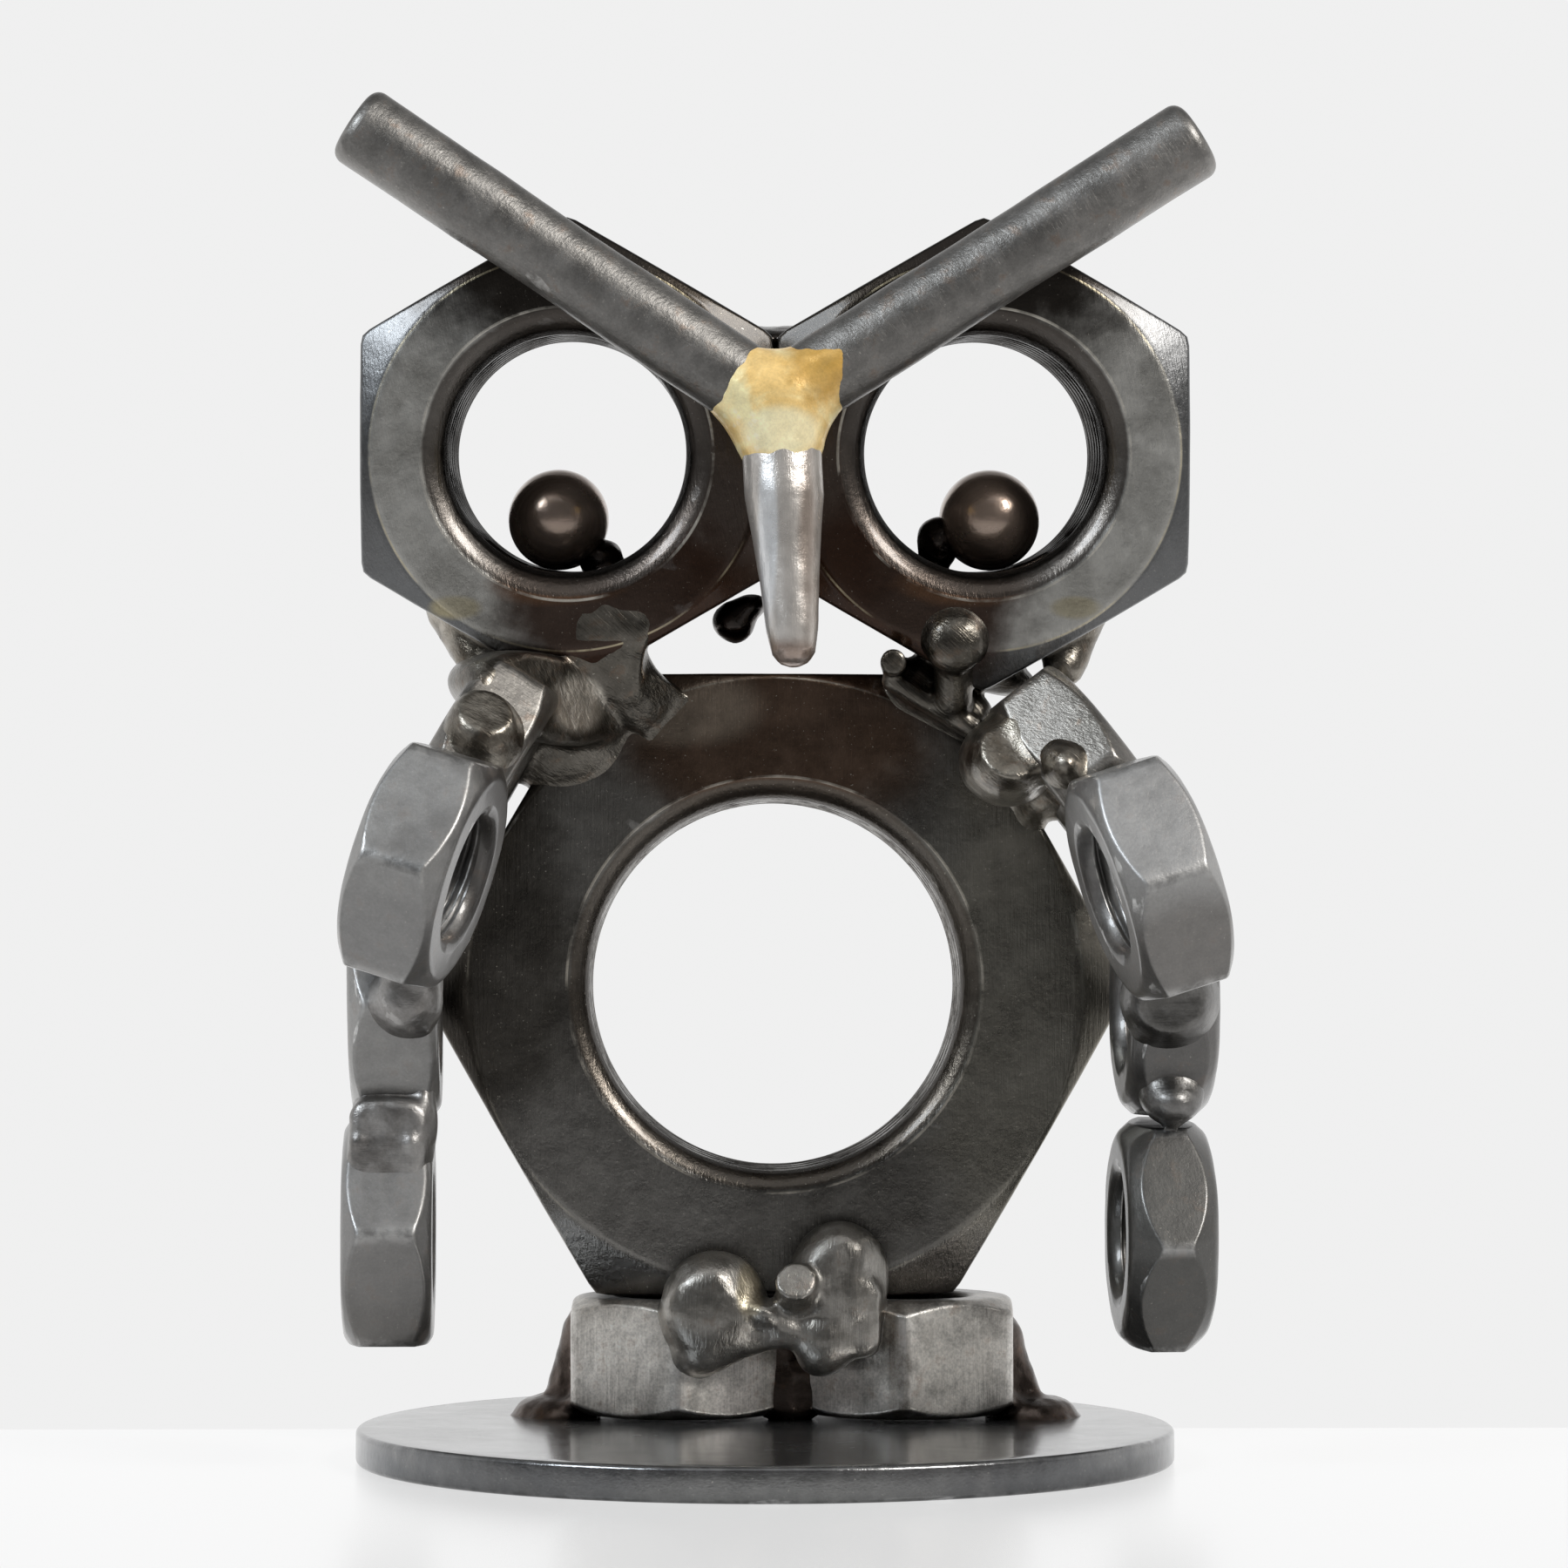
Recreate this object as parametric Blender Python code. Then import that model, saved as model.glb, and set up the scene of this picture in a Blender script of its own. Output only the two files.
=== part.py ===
# A small owl welded together from steel hexagon nuts, round rod and balls, on a round steel disc.
# Lengths below are millimetres. The finished meshes are in metres, +Z up, the owl faces -Y,
# and the origin is the centre of the disc's underside.
import math

import bmesh
import bpy
from mathutils import Matrix, Vector

for thing in list(bpy.data.objects):
    bpy.data.objects.remove(thing, do_unlink=True)

MM = 0.001
GAP = 0.3                              # left between pieces that touch
COS30 = math.cos(math.radians(30))
TAN30 = math.tan(math.radians(30))

# Base disc
DISC_DIAMETER = 71.2
DISC_THICKNESS = 3.0
DISC_EDGE = 0.45

# A nut's sizes: across flats, thickness, bore, how wide the bore is reamed out at its mouths,
# and how much narrower than the flats its round faces are
BODY_AF = 54.8
BODY_THICK = 18.0
BODY_BORE = 32.8
BODY_REAM = 2.0
BODY_RIM = 0.8
EYE_AF = 36.0
EYE_THICK = 21.5
EYE_BORE = 21.3
EYE_REAM = 2.4
EYE_RIM = 1.7
FOOT_AF = 19.3
FOOT_HEIGHT = 10.4
FOOT_BORE = 10.4
FOOT_REAM = 1.3
FOOT_RIM = 1.3
WING_AF = 19.1
WING_THICK = {1: 7.4, 2: 8.2, 3: 7.6, 4: 7.7}
WING_BORE = 10.4
WING_REAM = 1.2
WING_RIM = 1.2

# Body: one thin nut standing on its bottom flat, on two nuts that lie side by side as feet
FIGURE_X = 0.85                        # the figure stands a little right of the disc's centre
BODY_FRONT = 1.6
FEET_X = 2.5
FEET_BACK = 1.1                        # the feet's axes in front of the body's middle
FEET_APART = 0.54
FOOT_TURN = {-1: -1.0, 1: -1.5}

# Head: two nuts side by side that rest on the body's top corners, their faces leaning forward
HEAD_FORWARD = 6.5                     # eye faces in front of the body's
HEAD_TILT = 5.0
PUPIL_DIAMETER = 8.9
PUPIL_DEPTH = 12.4                     # behind the eye faces
PUPIL_SHIFT = 1.1                      # away from the middle of the head

# Brows and beak: points across and up the eye faces from between the eyes
ROD = 7.0
JOINT = (-0.15, 4.15)                  # where the brows' axes meet
BROW_LEFT_END = (-36.3, 28.35)
BROW_RIGHT_END = (36.3, 27.3)
BROW_LEFT_START = 4.6
BROW_RIGHT_START = 6.6
BROW_ROUND = 1.3
BEAK_TOP = (0.25, 4.15)
BEAK_END = (1.55, -18.2)
BEAK_LEAN = 4.8                        # how far its tip stands further forward
BEAK_START = 4.45
BEAK_RADII = ((0.0, 3.45), (0.22, 3.35), (0.48, 2.8), (0.68, 2.5), (0.86, 2.2), (0.95, 1.8), (1.0, 0.9))

# Wings: a chain of four thin nuts on each side. The first lies on the body's upper flank, the third
# hangs under it beside the body's side corner, the fourth hangs flat to flat below it, and the second sits
# in front of the first and the third.
WING_AXIS = {
    (-1, 1): (-0.867, 0.0, 0.498), (1, 1): (0.795, 0.0, 0.607),
    (-1, 2): (0.94, -0.17, -0.3), (1, 2): (-0.94, -0.12, -0.31),
    (-1, 3): (1.0, 0.03, 0.02), (1, 3): (-1.0, -0.04, 0.0),
    (-1, 4): (1.0, 0.035, 0.0), (1, 4): (-1.0, -0.05, 0.0),
}
LAST_TURN = {-1: 2.0, 1: 4.0}          # the fourth nut's turn about its axis
SEAT = {-1: 0.95, 1: 1.15}             # first nut off the flank
HEAD_CLEAR = {-1: 0.79, 1: 0.885}      # and below the eye's lower flat
SEAT_TUCK = 3.7                        # its rear corner behind the body's face
HANG_OUT = {-1: 1.0, 1: 1.7}           # third nut outside the body's side corner
HANG_DROP = {-1: 0.94, 1: 0.55}         # and this much more than its width below the first
HANG_TUCK = 1.3
LAST_OUT = {-1: 0.5, 1: -0.3}          # fourth nut further out than the third
FRONT_CLEAR = {-1: 0.9, 1: 0.85}       # second nut off the third nut's upper front flat
FRONT_UP = {-1: 1.85, 1: 0.55}         # and up along that flat
FRONT_IN = {-1: 3.35, 1: 2.75}         # and nearer the body

BEAD = 4.0                             # a weld bead

STEEL = (0.16, 0.15, 0.14)
STEEL_LIGHT = (0.27, 0.265, 0.26)
STEEL_DARK = (0.05, 0.045, 0.042)
GOLD = (0.72, 0.6, 0.3)


# Working solids, in millimetres

def temp(bm, matrix=None):
    bmesh.ops.remove_doubles(bm, verts=bm.verts, dist=0.0005)
    bmesh.ops.recalc_face_normals(bm, faces=bm.faces)
    mesh = bpy.data.meshes.new("working")
    bm.to_mesh(mesh)
    bm.free()
    if matrix is not None:
        mesh.transform(matrix)
    thing = bpy.data.objects.new("working", mesh)
    bpy.context.scene.collection.objects.link(thing)
    return thing


def combine(thing, tool, how):
    step = thing.modifiers.new("step", "BOOLEAN")
    step.operation = how
    step.solver = "EXACT"
    step.object = tool
    bpy.context.view_layer.update()
    seen = thing.evaluated_get(bpy.context.evaluated_depsgraph_get())
    mesh = bpy.data.meshes.new_from_object(seen)
    bm = bmesh.new()
    bm.from_mesh(mesh)
    bmesh.ops.dissolve_degenerate(bm, dist=0.002, edges=bm.edges)
    bm.to_mesh(mesh)
    bm.free()
    thing.modifiers.clear()
    thing.data = mesh
    bpy.data.objects.remove(tool, do_unlink=True)
    return thing


def turned(profile, steps):
    # A closed solid turned about Z from (radius, height) points that start and end on the axis
    bm = bmesh.new()
    points = [bm.verts.new((r, 0, z)) for r, z in profile]
    edges = [bm.edges.new(pair) for pair in zip(points, points[1:])]
    bmesh.ops.spin(bm, geom=points + edges, cent=(0, 0, 0), axis=(0, 0, 1), dvec=(0, 0, 0),
                   angle=2 * math.pi, steps=steps, use_merge=True, use_duplicate=False)
    return bm


def pose(centre, axis, turn):
    # Local Z along the axis, local X level before it is turned about the axis
    z = Vector(axis).normalized()
    level = Vector((0, 0, 1)) if abs(z.z) < 0.9 else Vector((0, 1, 0))
    x = level.cross(z).normalized()
    y = z.cross(x)
    frame = Matrix((x, y, z)).transposed().to_4x4()
    return Matrix.Translation(Vector(centre)) @ frame @ Matrix.Rotation(math.radians(turn), 4, "Z")


def nut(matrix, af, thick, bore, ream, rim, steps, grow=0.0):
    # A hexagon, corner on local X, with both faces chamfered at 30 degrees and a countersunk bore.
    # When grown it is the room that a weld leaves for it, and the bore is filled.
    half = thick / 2 + grow
    face = (af - rim) / 2 + grow * 0.6
    mouth = bore / 2 + ream
    bm = bmesh.new()

    def ring(radius, height):
        verts = []
        for k in range(steps):
            angle = 2 * math.pi * k / steps
            verts.append(bm.verts.new((radius * math.cos(angle), radius * math.sin(angle), height)))
        return verts

    def outline(side):
        # Where the flats meet the chamfer cone
        verts = []
        for k in range(steps):
            angle = 2 * math.pi * k / steps
            r = (af / 2 + grow) / math.cos(angle % math.radians(60) - math.radians(30))
            z = side * (half - max(0.0, r - face) * TAN30)
            verts.append(bm.verts.new((r * math.cos(angle), r * math.sin(angle), z)))
        return verts

    rings = [ring(face, -half), outline(-1), outline(1), ring(face, half)]
    if grow:
        bm.faces.new(rings[0][::-1])
        bm.faces.new(rings[-1])
        pairs = list(zip(rings, rings[1:]))
    else:
        rings = [ring(bore / 2, ream - half), ring(mouth, -half)] + rings
        rings += [ring(mouth, half), ring(bore / 2, half - ream)]
        pairs = list(zip(rings, rings[1:] + rings[:1]))
    for low, high in pairs:
        for k in range(steps):
            n = (k + 1) % steps
            bm.faces.new((low[k], low[n], high[n], high[k]))
    return temp(bm, matrix)


def ball(matrix, radii, around=10, rings=7):
    bm = bmesh.new()
    bmesh.ops.create_uvsphere(bm, u_segments=around, v_segments=rings, radius=1)
    return temp(bm, matrix @ Matrix.Diagonal((*radii, 1)))


def bar(start, end, profile, steps):
    # A turned piece whose profile runs along the line from start to end
    start, end = Vector(start), Vector(end)
    points = [(0, profile[0][1])] + list(profile) + [(0, profile[-1][1])]
    return temp(turned(points, steps), pose(start, end - start, 0))


# Each sub-part: its own object with its own material, its origin at its middle

def part(name, thing, colour, rough=0.35, metal=1.0, smooth=35):
    mesh = thing.data
    low = [min(v.co[i] for v in mesh.vertices) for i in range(3)]
    high = [max(v.co[i] for v in mesh.vertices) for i in range(3)]
    middle = (Vector(low) + Vector(high)) / 2
    mesh.transform(Matrix.Translation(-middle))
    mesh.transform(Matrix.Scale(MM, 4))
    mesh.shade_smooth()
    mesh.set_sharp_from_angle(angle=math.radians(smooth))
    mesh.name = name
    thing.name = name
    thing.location = middle * MM
    look = bpy.data.materials.new(name)
    look.use_nodes = True
    shader = look.node_tree.nodes["Principled BSDF"]
    shader.inputs["Base Color"].default_value = (*colour, 1)
    shader.inputs["Roughness"].default_value = rough
    shader.inputs["Metallic"].default_value = metal
    mesh.materials.clear()
    mesh.materials.append(look)
    return thing


# Body and feet

foot_base = DISC_THICKNESS + GAP
body_base = foot_base + FOOT_HEIGHT + GAP
body_top = body_base + BODY_AF
body_middle = Vector((FIGURE_X, BODY_FRONT + BODY_THICK / 2, body_base + BODY_AF / 2))
body_corner = BODY_AF / 2 / COS30
flank_corner = BODY_AF / 2 * TAN30
foot_y = body_middle.y - FEET_BACK
foot_x = {side: FEET_X + side * (FOOT_AF + FEET_APART) / 2 for side in (-1, 1)}


def body_nut(grow=0.0):
    return nut(pose(body_middle, (0, -1, 0), 0), BODY_AF, BODY_THICK, BODY_BORE, BODY_REAM, BODY_RIM, 48, grow)


def foot_nut(side, grow=0.0):
    at = Matrix.Translation((foot_x[side], foot_y, foot_base + FOOT_HEIGHT / 2))
    return nut(at @ Matrix.Rotation(math.radians(90 + FOOT_TURN[side]), 4, "Z"),
               FOOT_AF, FOOT_HEIGHT, FOOT_BORE, FOOT_REAM, FOOT_RIM, 18, grow)


def disc():
    r, e, top = DISC_DIAMETER / 2, DISC_EDGE, DISC_THICKNESS
    return temp(turned([(0, 0), (r - e, 0), (r, e), (r, top - e), (r - e, top), (0, top)], 40))


# Head: an eye's lower inner flat rests on the body's top corner, behind that corner's chamfer

tilt = math.radians(HEAD_TILT)
head_up = Vector((0, -math.sin(tilt), math.cos(tilt)))
head_front = Vector((0, -math.cos(tilt), -math.sin(tilt)))
eye_side = (EYE_AF + GAP) / 2
eye_corner = EYE_AF / 2 / COS30
rest_behind = HEAD_FORWARD + (body_corner - (BODY_AF - BODY_RIM) / 2) * TAN30
rest_height = eye_corner - abs(eye_side - flank_corner) * TAN30 + 1.1 * GAP / COS30
head = Vector((FIGURE_X, BODY_FRONT - HEAD_FORWARD, body_top + rest_height - rest_behind * math.sin(tilt)))
pupil_reach = EYE_BORE / 2 - PUPIL_DIAMETER / 2 - 1.25 * GAP
pupil_drop = math.sqrt(max(0.0, pupil_reach ** 2 - PUPIL_SHIFT ** 2))
rod_away = ROD / 2 + 1.2 * GAP


def face_point(across, up, out):
    return head + Vector((across, 0, 0)) + head_up * up + head_front * out


def eye_nut(side, grow=0.0):
    return nut(pose(face_point(side * eye_side, 0, -EYE_THICK / 2), head_front, 30),
               EYE_AF, EYE_THICK, EYE_BORE, EYE_REAM, EYE_RIM, 36, grow)


def pupil_middle(side):
    return face_point(side * (eye_side + PUPIL_SHIFT), -pupil_drop, -PUPIL_DEPTH)


# Brows, beak and the brazed joint between them: three stubs run together

joint = face_point(*JOINT, rod_away)
beak_top = face_point(*BEAK_TOP, rod_away)
beak_tip = face_point(*BEAK_END, rod_away + BEAK_LEAN)


def brow(end, start):
    tip = face_point(*end, rod_away)
    length = (tip - joint).length
    r, e = ROD / 2, BROW_ROUND
    profile = [(r, start), (r * 0.965, length * 0.5), (r, length * 0.8), (r, length - e)]
    profile += [(r - e + e * math.cos(a), length - e + e * math.sin(a))
                for a in (math.radians(45), math.radians(90))]
    return bar(joint, tip, profile, 16)


def beak():
    length = (beak_tip - beak_top).length
    return bar(beak_top, beak_tip, [(r, BEAK_START + (length - BEAK_START) * s) for s, r in BEAK_RADII], 16)


def braze():
    r = ROD / 2
    left, right = face_point(*BROW_LEFT_END, rod_away), face_point(*BROW_RIGHT_END, rod_away)
    solid = bar(joint, left, [(r, -1.0), (r, BROW_LEFT_START - GAP)], 16)
    solid = combine(solid, bar(joint, right, [(r, -1.0), (r, BROW_RIGHT_START - GAP)], 16), "UNION")
    stub = bar(beak_top, beak_tip, [(r, -1.0), (BEAK_RADII[0][1], BEAK_START - GAP)], 16)
    solid = combine(solid, stub, "UNION")
    web = Matrix.Translation(face_point(JOINT[0] + 0.2, JOINT[1] - 0.3, rod_away)) @ Matrix.Rotation(
        math.radians(90) - tilt, 4, "X")
    return combine(solid, ball(web, (ROD * 0.64, BEAK_START - 0.75, ROD * 0.47)), "UNION")


# Wing nuts

def wing_middle(side, number):
    corner = WING_AF / 2 / COS30
    if number == 1:
        out, up = Vector((side * COS30, 0, 0.5)), Vector((-side * 0.5, 0, COS30))
        seat = Vector((FIGURE_X, BODY_FRONT + SEAT_TUCK - corner, body_middle.z))
        seat += out * (BODY_AF / 2 + WING_THICK[1] / 2 + SEAT[side])
        axis = Vector(WING_AXIS[side, 1]).normalized()
        rim = seat + axis * WING_THICK[1] / 2 + Vector((-side * axis.z, 0, side * axis.x)) * WING_AF / 2
        below = (rim - face_point(side * eye_side, 0, 0)).dot(Vector((side * 0.5, 0, -COS30))) - EYE_AF / 2
        return seat + up * (below - HEAD_CLEAR[side])
    third = Vector((FIGURE_X + side * (body_corner + HANG_OUT[side]), BODY_FRONT + HANG_TUCK - corner,
                    wing_middle(side, 1).z - WING_AF - HANG_DROP[side]))
    if number == 2:
        off = Vector((0, -COS30, 0.5)) * (WING_AF + FRONT_CLEAR[side])
        return third + off + Vector((-side * FRONT_IN[side], 0.5 * FRONT_UP[side], COS30 * FRONT_UP[side]))
    if number == 4:
        below = WING_AF / 2 + corner * math.sin(math.radians(60 + LAST_TURN[side])) + GAP
        return third + Vector((side * LAST_OUT[side], 0, -below))
    return third


def wing_top(side):
    # The middle of the first wing nut's upper flat
    axis = Vector(WING_AXIS[side, 1]).normalized()
    return wing_middle(side, 1) + Vector((-side * axis.z, 0, side * axis.x)) * WING_AF / 2


def wing_nut(side, number, grow=0.0):
    turn = -LAST_TURN[side] if number == 4 else 0
    return nut(pose(wing_middle(side, number), WING_AXIS[side, number], turn),
               WING_AF, WING_THICK[number], WING_BORE, WING_REAM, WING_RIM, 18, grow)


# Welds: balls, rod ends and links run together, less the room for the pieces they hold. Their shapes
# are shares of BEAD, and their places are measured from a corner or the middle of a piece they hold.

def weld(shapes, rooms):
    solid = None
    for kind, place, size, turn in shapes:
        if kind == "ball":
            at = Matrix.Translation(place) @ Matrix.Rotation(math.radians(turn), 4, "Y")
            piece = ball(at, [s * BEAD for s in size])
        elif kind == "stub":
            radius, length = size[0] * BEAD, size[1] * BEAD
            profile = [(radius, 0), (radius, length - radius * 0.2), (radius * 0.8, length)]
            piece = bar(place, place + Vector((-0.1, -1, 0)), profile, 8)
        else:
            # From inside one piece to inside another: size is the link's radius, turn its other end
            radius, along = size * BEAD, turn - place
            start, length = place - along.normalized() * radius * 0.6, along.length + radius * 1.2
            profile = [(radius * 0.7, 0), (radius, length * 0.25), (radius, length * 0.75), (radius * 0.7, length)]
            piece = bar(start, start + along, profile, 10)
        solid = piece if solid is None else combine(solid, piece, "UNION")
    for room in rooms:
        solid = combine(solid, room, "DIFFERENCE")
    return solid


def off(place, share):
    return place + Vector(share) * BEAD


def foot_fillet(side, forward, reach, share, width):
    # A leg of weld running down the outside of a foot onto the disc, hollow towards its toe. How far
    # forward it stands, its reach and its half width are shares of the foot's width across flats.
    x = foot_x[side] + side * FOOT_AF / 2
    y = foot_y - forward * FOOT_AF
    rows = 5
    bm = bmesh.new()
    loops = []
    for i in range(rows):
        s = i / (rows - 1)
        out = FOOT_AF * reach * (1 - s) ** 2.4 + 2 * GAP
        wide = FOOT_AF * width * (0.55 + 0.45 * (1 - s))
        z = foot_base + FOOT_HEIGHT * share * s
        outline = ((-FOOT_AF * 0.155, -wide), (out * 0.55, -wide), (out, -wide * 0.35),
                   (out, wide * 0.35), (out * 0.55, wide), (-FOOT_AF * 0.155, wide))
        loops.append([bm.verts.new((x + side * a, y + b, z)) for a, b in outline])
    for low, high in zip(loops, loops[1:]):
        for k in range(6):
            bm.faces.new((low[k], low[(k + 1) % 6], high[(k + 1) % 6], high[k]))
    bm.faces.new(loops[0])
    bm.faces.new(loops[-1])
    bmesh.ops.triangulate(bm, faces=bm.faces)
    return combine(temp(bm), foot_nut(side, GAP), "DIFFERENCE")


def pupil_weld(side, place, size):
    # A bead beside a pupil, inside the eye's bore; place and size are shares of the pupil's diameter
    reach = EYE_BORE / 2 - GAP
    room = turned([(0, -9), (reach, -9), (reach, 9), (0, 9)], 36)
    middle = pupil_middle(side)
    bead = combine(ball(Matrix.Translation(middle + Vector(place) * PUPIL_DIAMETER), [s * PUPIL_DIAMETER for s in size]),
                   temp(room, pose(face_point(side * eye_side, 0, -EYE_THICK / 2), head_front, 0)), "INTERSECT")
    return combine(bead, ball(Matrix.Translation(middle), (PUPIL_DIAMETER / 2 + GAP,) * 3, 14, 9), "DIFFERENCE")


# Build

part("base_disc", disc(), STEEL, 0.3)
part("body_nut", body_nut(), STEEL, 0.35)
for side, word in ((-1, "left"), (1, "right")):
    part("foot_nut_" + word, foot_nut(side), STEEL_LIGHT, 0.4)
    part("eye_nut_" + word, eye_nut(side), STEEL, 0.35)
    part("pupil_ball_" + word, ball(Matrix.Translation(pupil_middle(side)), (PUPIL_DIAMETER / 2,) * 3, 14, 9),
         STEEL_DARK, 0.2)
    for number in (1, 2, 3, 4):
        part("wing_nut_%s_%d" % (word, number), wing_nut(side, number), STEEL_LIGHT, 0.4)
part("brow_rod_left", brow(BROW_LEFT_END, BROW_LEFT_START), STEEL_LIGHT, 0.35)
part("brow_rod_right", brow(BROW_RIGHT_END, BROW_RIGHT_START), STEEL_LIGHT, 0.35)
part("beak_rod", beak(), STEEL_LIGHT, 0.35)
part("joint_braze", braze(), GOLD, 0.3)

toes = Vector((FIGURE_X, foot_y - FOOT_AF / 2 / COS30, body_base))
part("weld_feet", weld([
    ("ball", off(toes, (-1.4, 0.275, -0.2)), (0.975, 0.9, 1.225), 12),
    ("ball", off(toes, (1.5, 0.375, 0.6)), (0.95, 0.85, 1.175), -6),
    ("ball", off(toes, (1.2, 0.275, -0.95)), (0.95, 0.85, 0.675), 15),
    ("ball", off(toes, (-0.1, 0.375, -0.5)), (0.85, 0.7, 0.5), 20),
    ("stub", off(toes, (0.45, 0.575, 0.425)), (0.463, 1.575), 0),
], [body_nut(GAP), foot_nut(-1, GAP), foot_nut(1, GAP)]), STEEL)
part("weld_base_left", foot_fillet(-1, -0.036, 0.238, 0.73, 0.218), STEEL)
part("weld_base_right", foot_fillet(1, 0.047, 0.269, 0.69, 0.212), STEEL)

neck = {side: Vector((FIGURE_X + side * flank_corner, BODY_FRONT, body_top)) for side in (-1, 1)}
part("weld_neck_left", weld([
    ("ball", off(neck[-1], (0.225, -0.6, 0.05)), (1.075, 0.8, 1.6), 28),
    ("ball", off(wing_top(-1), (0.55, 0.05, -0.875)), (1.025, 2.15, 1.15), 10),
    ("ball", off(neck[-1], (1.325, -0.225, -0.725)), (1.35, 0.375, 0.65), 35),
], [body_nut(GAP), eye_nut(-1, GAP), wing_nut(-1, 1, GAP)]), STEEL_LIGHT)
part("weld_neck_right", weld([
    ("ball", off(neck[1], (-0.225, -1, 0.4)), (0.625, 0.65, 1.15), -6),
    ("ball", off(neck[1], (-0.075, -0.3, -0.425)), (1.2, 0.425, 0.4), 28),
    ("stub", off(neck[1], (-1.35, -0.025, 0.2)), (0.275, 1.875), 0),
    ("ball", off(neck[1], (-0.925, -0.5, 0.2)), (0.6, 0.375, 0.3), 0),
], [body_nut(GAP), eye_nut(1, GAP), wing_nut(1, 1, GAP)]), STEEL_LIGHT)

part("weld_shoulder_left", weld([
    ("ball", off(wing_middle(-1, 1), (0.475, -1.975, 0.662)), (0.575, 0.9, 0.925), -25),
], [wing_nut(-1, 1, GAP), wing_nut(-1, 2, GAP)]), STEEL_LIGHT)
part("weld_shoulder_right", weld([
    ("ball", off(wing_middle(1, 1), (-1.4, -0.575, 0.35)), (0.95, 2.45, 0.75), 12),
], [body_nut(GAP), wing_nut(1, 1, GAP), wing_nut(1, 2, GAP)]), STEEL_LIGHT)
part("weld_wing_right_12", weld([
    ("ball", off(wing_middle(1, 1), (-0.25, -2.275, -0.325)), (0.575, 1.1, 0.5), -35),
], [wing_nut(1, 1, GAP), wing_nut(1, 2, GAP)]), STEEL_LIGHT)
for side, word in ((-1, "left"), (1, "right")):
    under = face_point(side * (eye_side + EYE_AF * 0.24), -eye_corner * 0.76, -EYE_THICK * 0.44)
    corner = wing_top(side) + Vector((side * COS30, 0, 0.5)) * WING_THICK[1] * 0.4 + Vector((0, WING_AF * 0.22, 0))
    part("weld_back_" + word, weld([("link", corner, 0.5, under)], [eye_nut(side, GAP), wing_nut(side, 1, GAP)]),
         STEEL)

valley = EYE_AF / 2 * TAN30
part("weld_crown", weld([
    ("ball", face_point(0, valley, 0) + Vector((0, EYE_THICK / 2, GAP / 2)), (0.725, 1.625, 0.425), 0),
], [eye_nut(-1, GAP), eye_nut(1, GAP)]), STEEL_DARK)
drip = face_point(0, -valley, -EYE_THICK * 0.54)
part("weld_drip", weld([
    ("ball", off(drip, (-0.9, 0.11, -0.95)), (0.5, 0.575, 0.575), 20),
    ("ball", off(drip, (-0.5, 0.01, -0.55)), (0.45, 0.55, 0.275), -25),
], [eye_nut(-1, GAP), eye_nut(1, GAP)]), STEEL_DARK)
part("weld_pupil_left", pupil_weld(-1, (0.416, 0.034, -0.382), (0.247, 0.247, 0.213)), STEEL_DARK)
part("weld_pupil_right", pupil_weld(1, (-0.517, 0.034, -0.258), (0.247, 0.27, 0.303)), STEEL_DARK)

for side, word, size in ((-1, "left", ((0.775, 0.85, 0.9), (0.825, 0.9, 0.75))),
                         (1, "right", ((0.925, 0.85, 0.9), (0.6, 0.9, 0.75)))):
    between = (wing_middle(side, 3) + wing_middle(side, 4)) / 2
    part("weld_wing_%s_23" % word, weld([
        ("ball", wing_middle(side, 3) + Vector((0.026 - side * 0.058, -0.475, 0.071)) * WING_AF, size[0], 0),
    ], [wing_nut(side, 2, GAP), wing_nut(side, 3, GAP)]), STEEL_LIGHT)
    part("weld_wing_%s_34" % word, weld([
        ("ball", between + Vector((0, -0.37, -0.005)) * WING_AF, size[1], 0),
    ], [wing_nut(side, 3, GAP), wing_nut(side, 4, GAP)]), STEEL_LIGHT)
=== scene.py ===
# Looks for the welded owl: fine meshes with threads, worn edges with painted highlights and run-together
# welds over the plain solids, procedural metal with painted light and shade, a pale table and soft light.
# Working lengths are millimetres.
import math

import bpy
import numpy as np
from mathutils import Matrix, Vector


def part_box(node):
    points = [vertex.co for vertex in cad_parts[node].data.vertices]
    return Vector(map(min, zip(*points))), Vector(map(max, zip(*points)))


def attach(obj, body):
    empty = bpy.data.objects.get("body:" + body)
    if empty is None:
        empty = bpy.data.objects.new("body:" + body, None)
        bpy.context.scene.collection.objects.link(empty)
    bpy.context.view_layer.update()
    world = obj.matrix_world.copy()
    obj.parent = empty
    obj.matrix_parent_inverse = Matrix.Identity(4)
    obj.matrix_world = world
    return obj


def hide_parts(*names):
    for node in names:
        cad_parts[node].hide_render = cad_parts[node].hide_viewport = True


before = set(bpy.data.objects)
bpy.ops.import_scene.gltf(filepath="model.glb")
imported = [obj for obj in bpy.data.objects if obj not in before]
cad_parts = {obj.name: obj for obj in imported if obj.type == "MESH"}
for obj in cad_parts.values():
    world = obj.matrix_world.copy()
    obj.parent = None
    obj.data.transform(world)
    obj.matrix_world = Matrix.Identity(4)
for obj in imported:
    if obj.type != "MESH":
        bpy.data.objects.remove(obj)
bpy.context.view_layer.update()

MM = 0.001
TAN30 = math.tan(math.radians(30))
COS30 = math.cos(math.radians(30))
FRONT = (0, -1, 0)
UPWARD = (0, 0, 1)
WORDS = ("left", "right")
DISC_RADIUS = 35.6
DISC_THICK = 3.0


def middle(node):
    low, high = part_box(node)
    return (low + high) / 2 / MM


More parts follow.
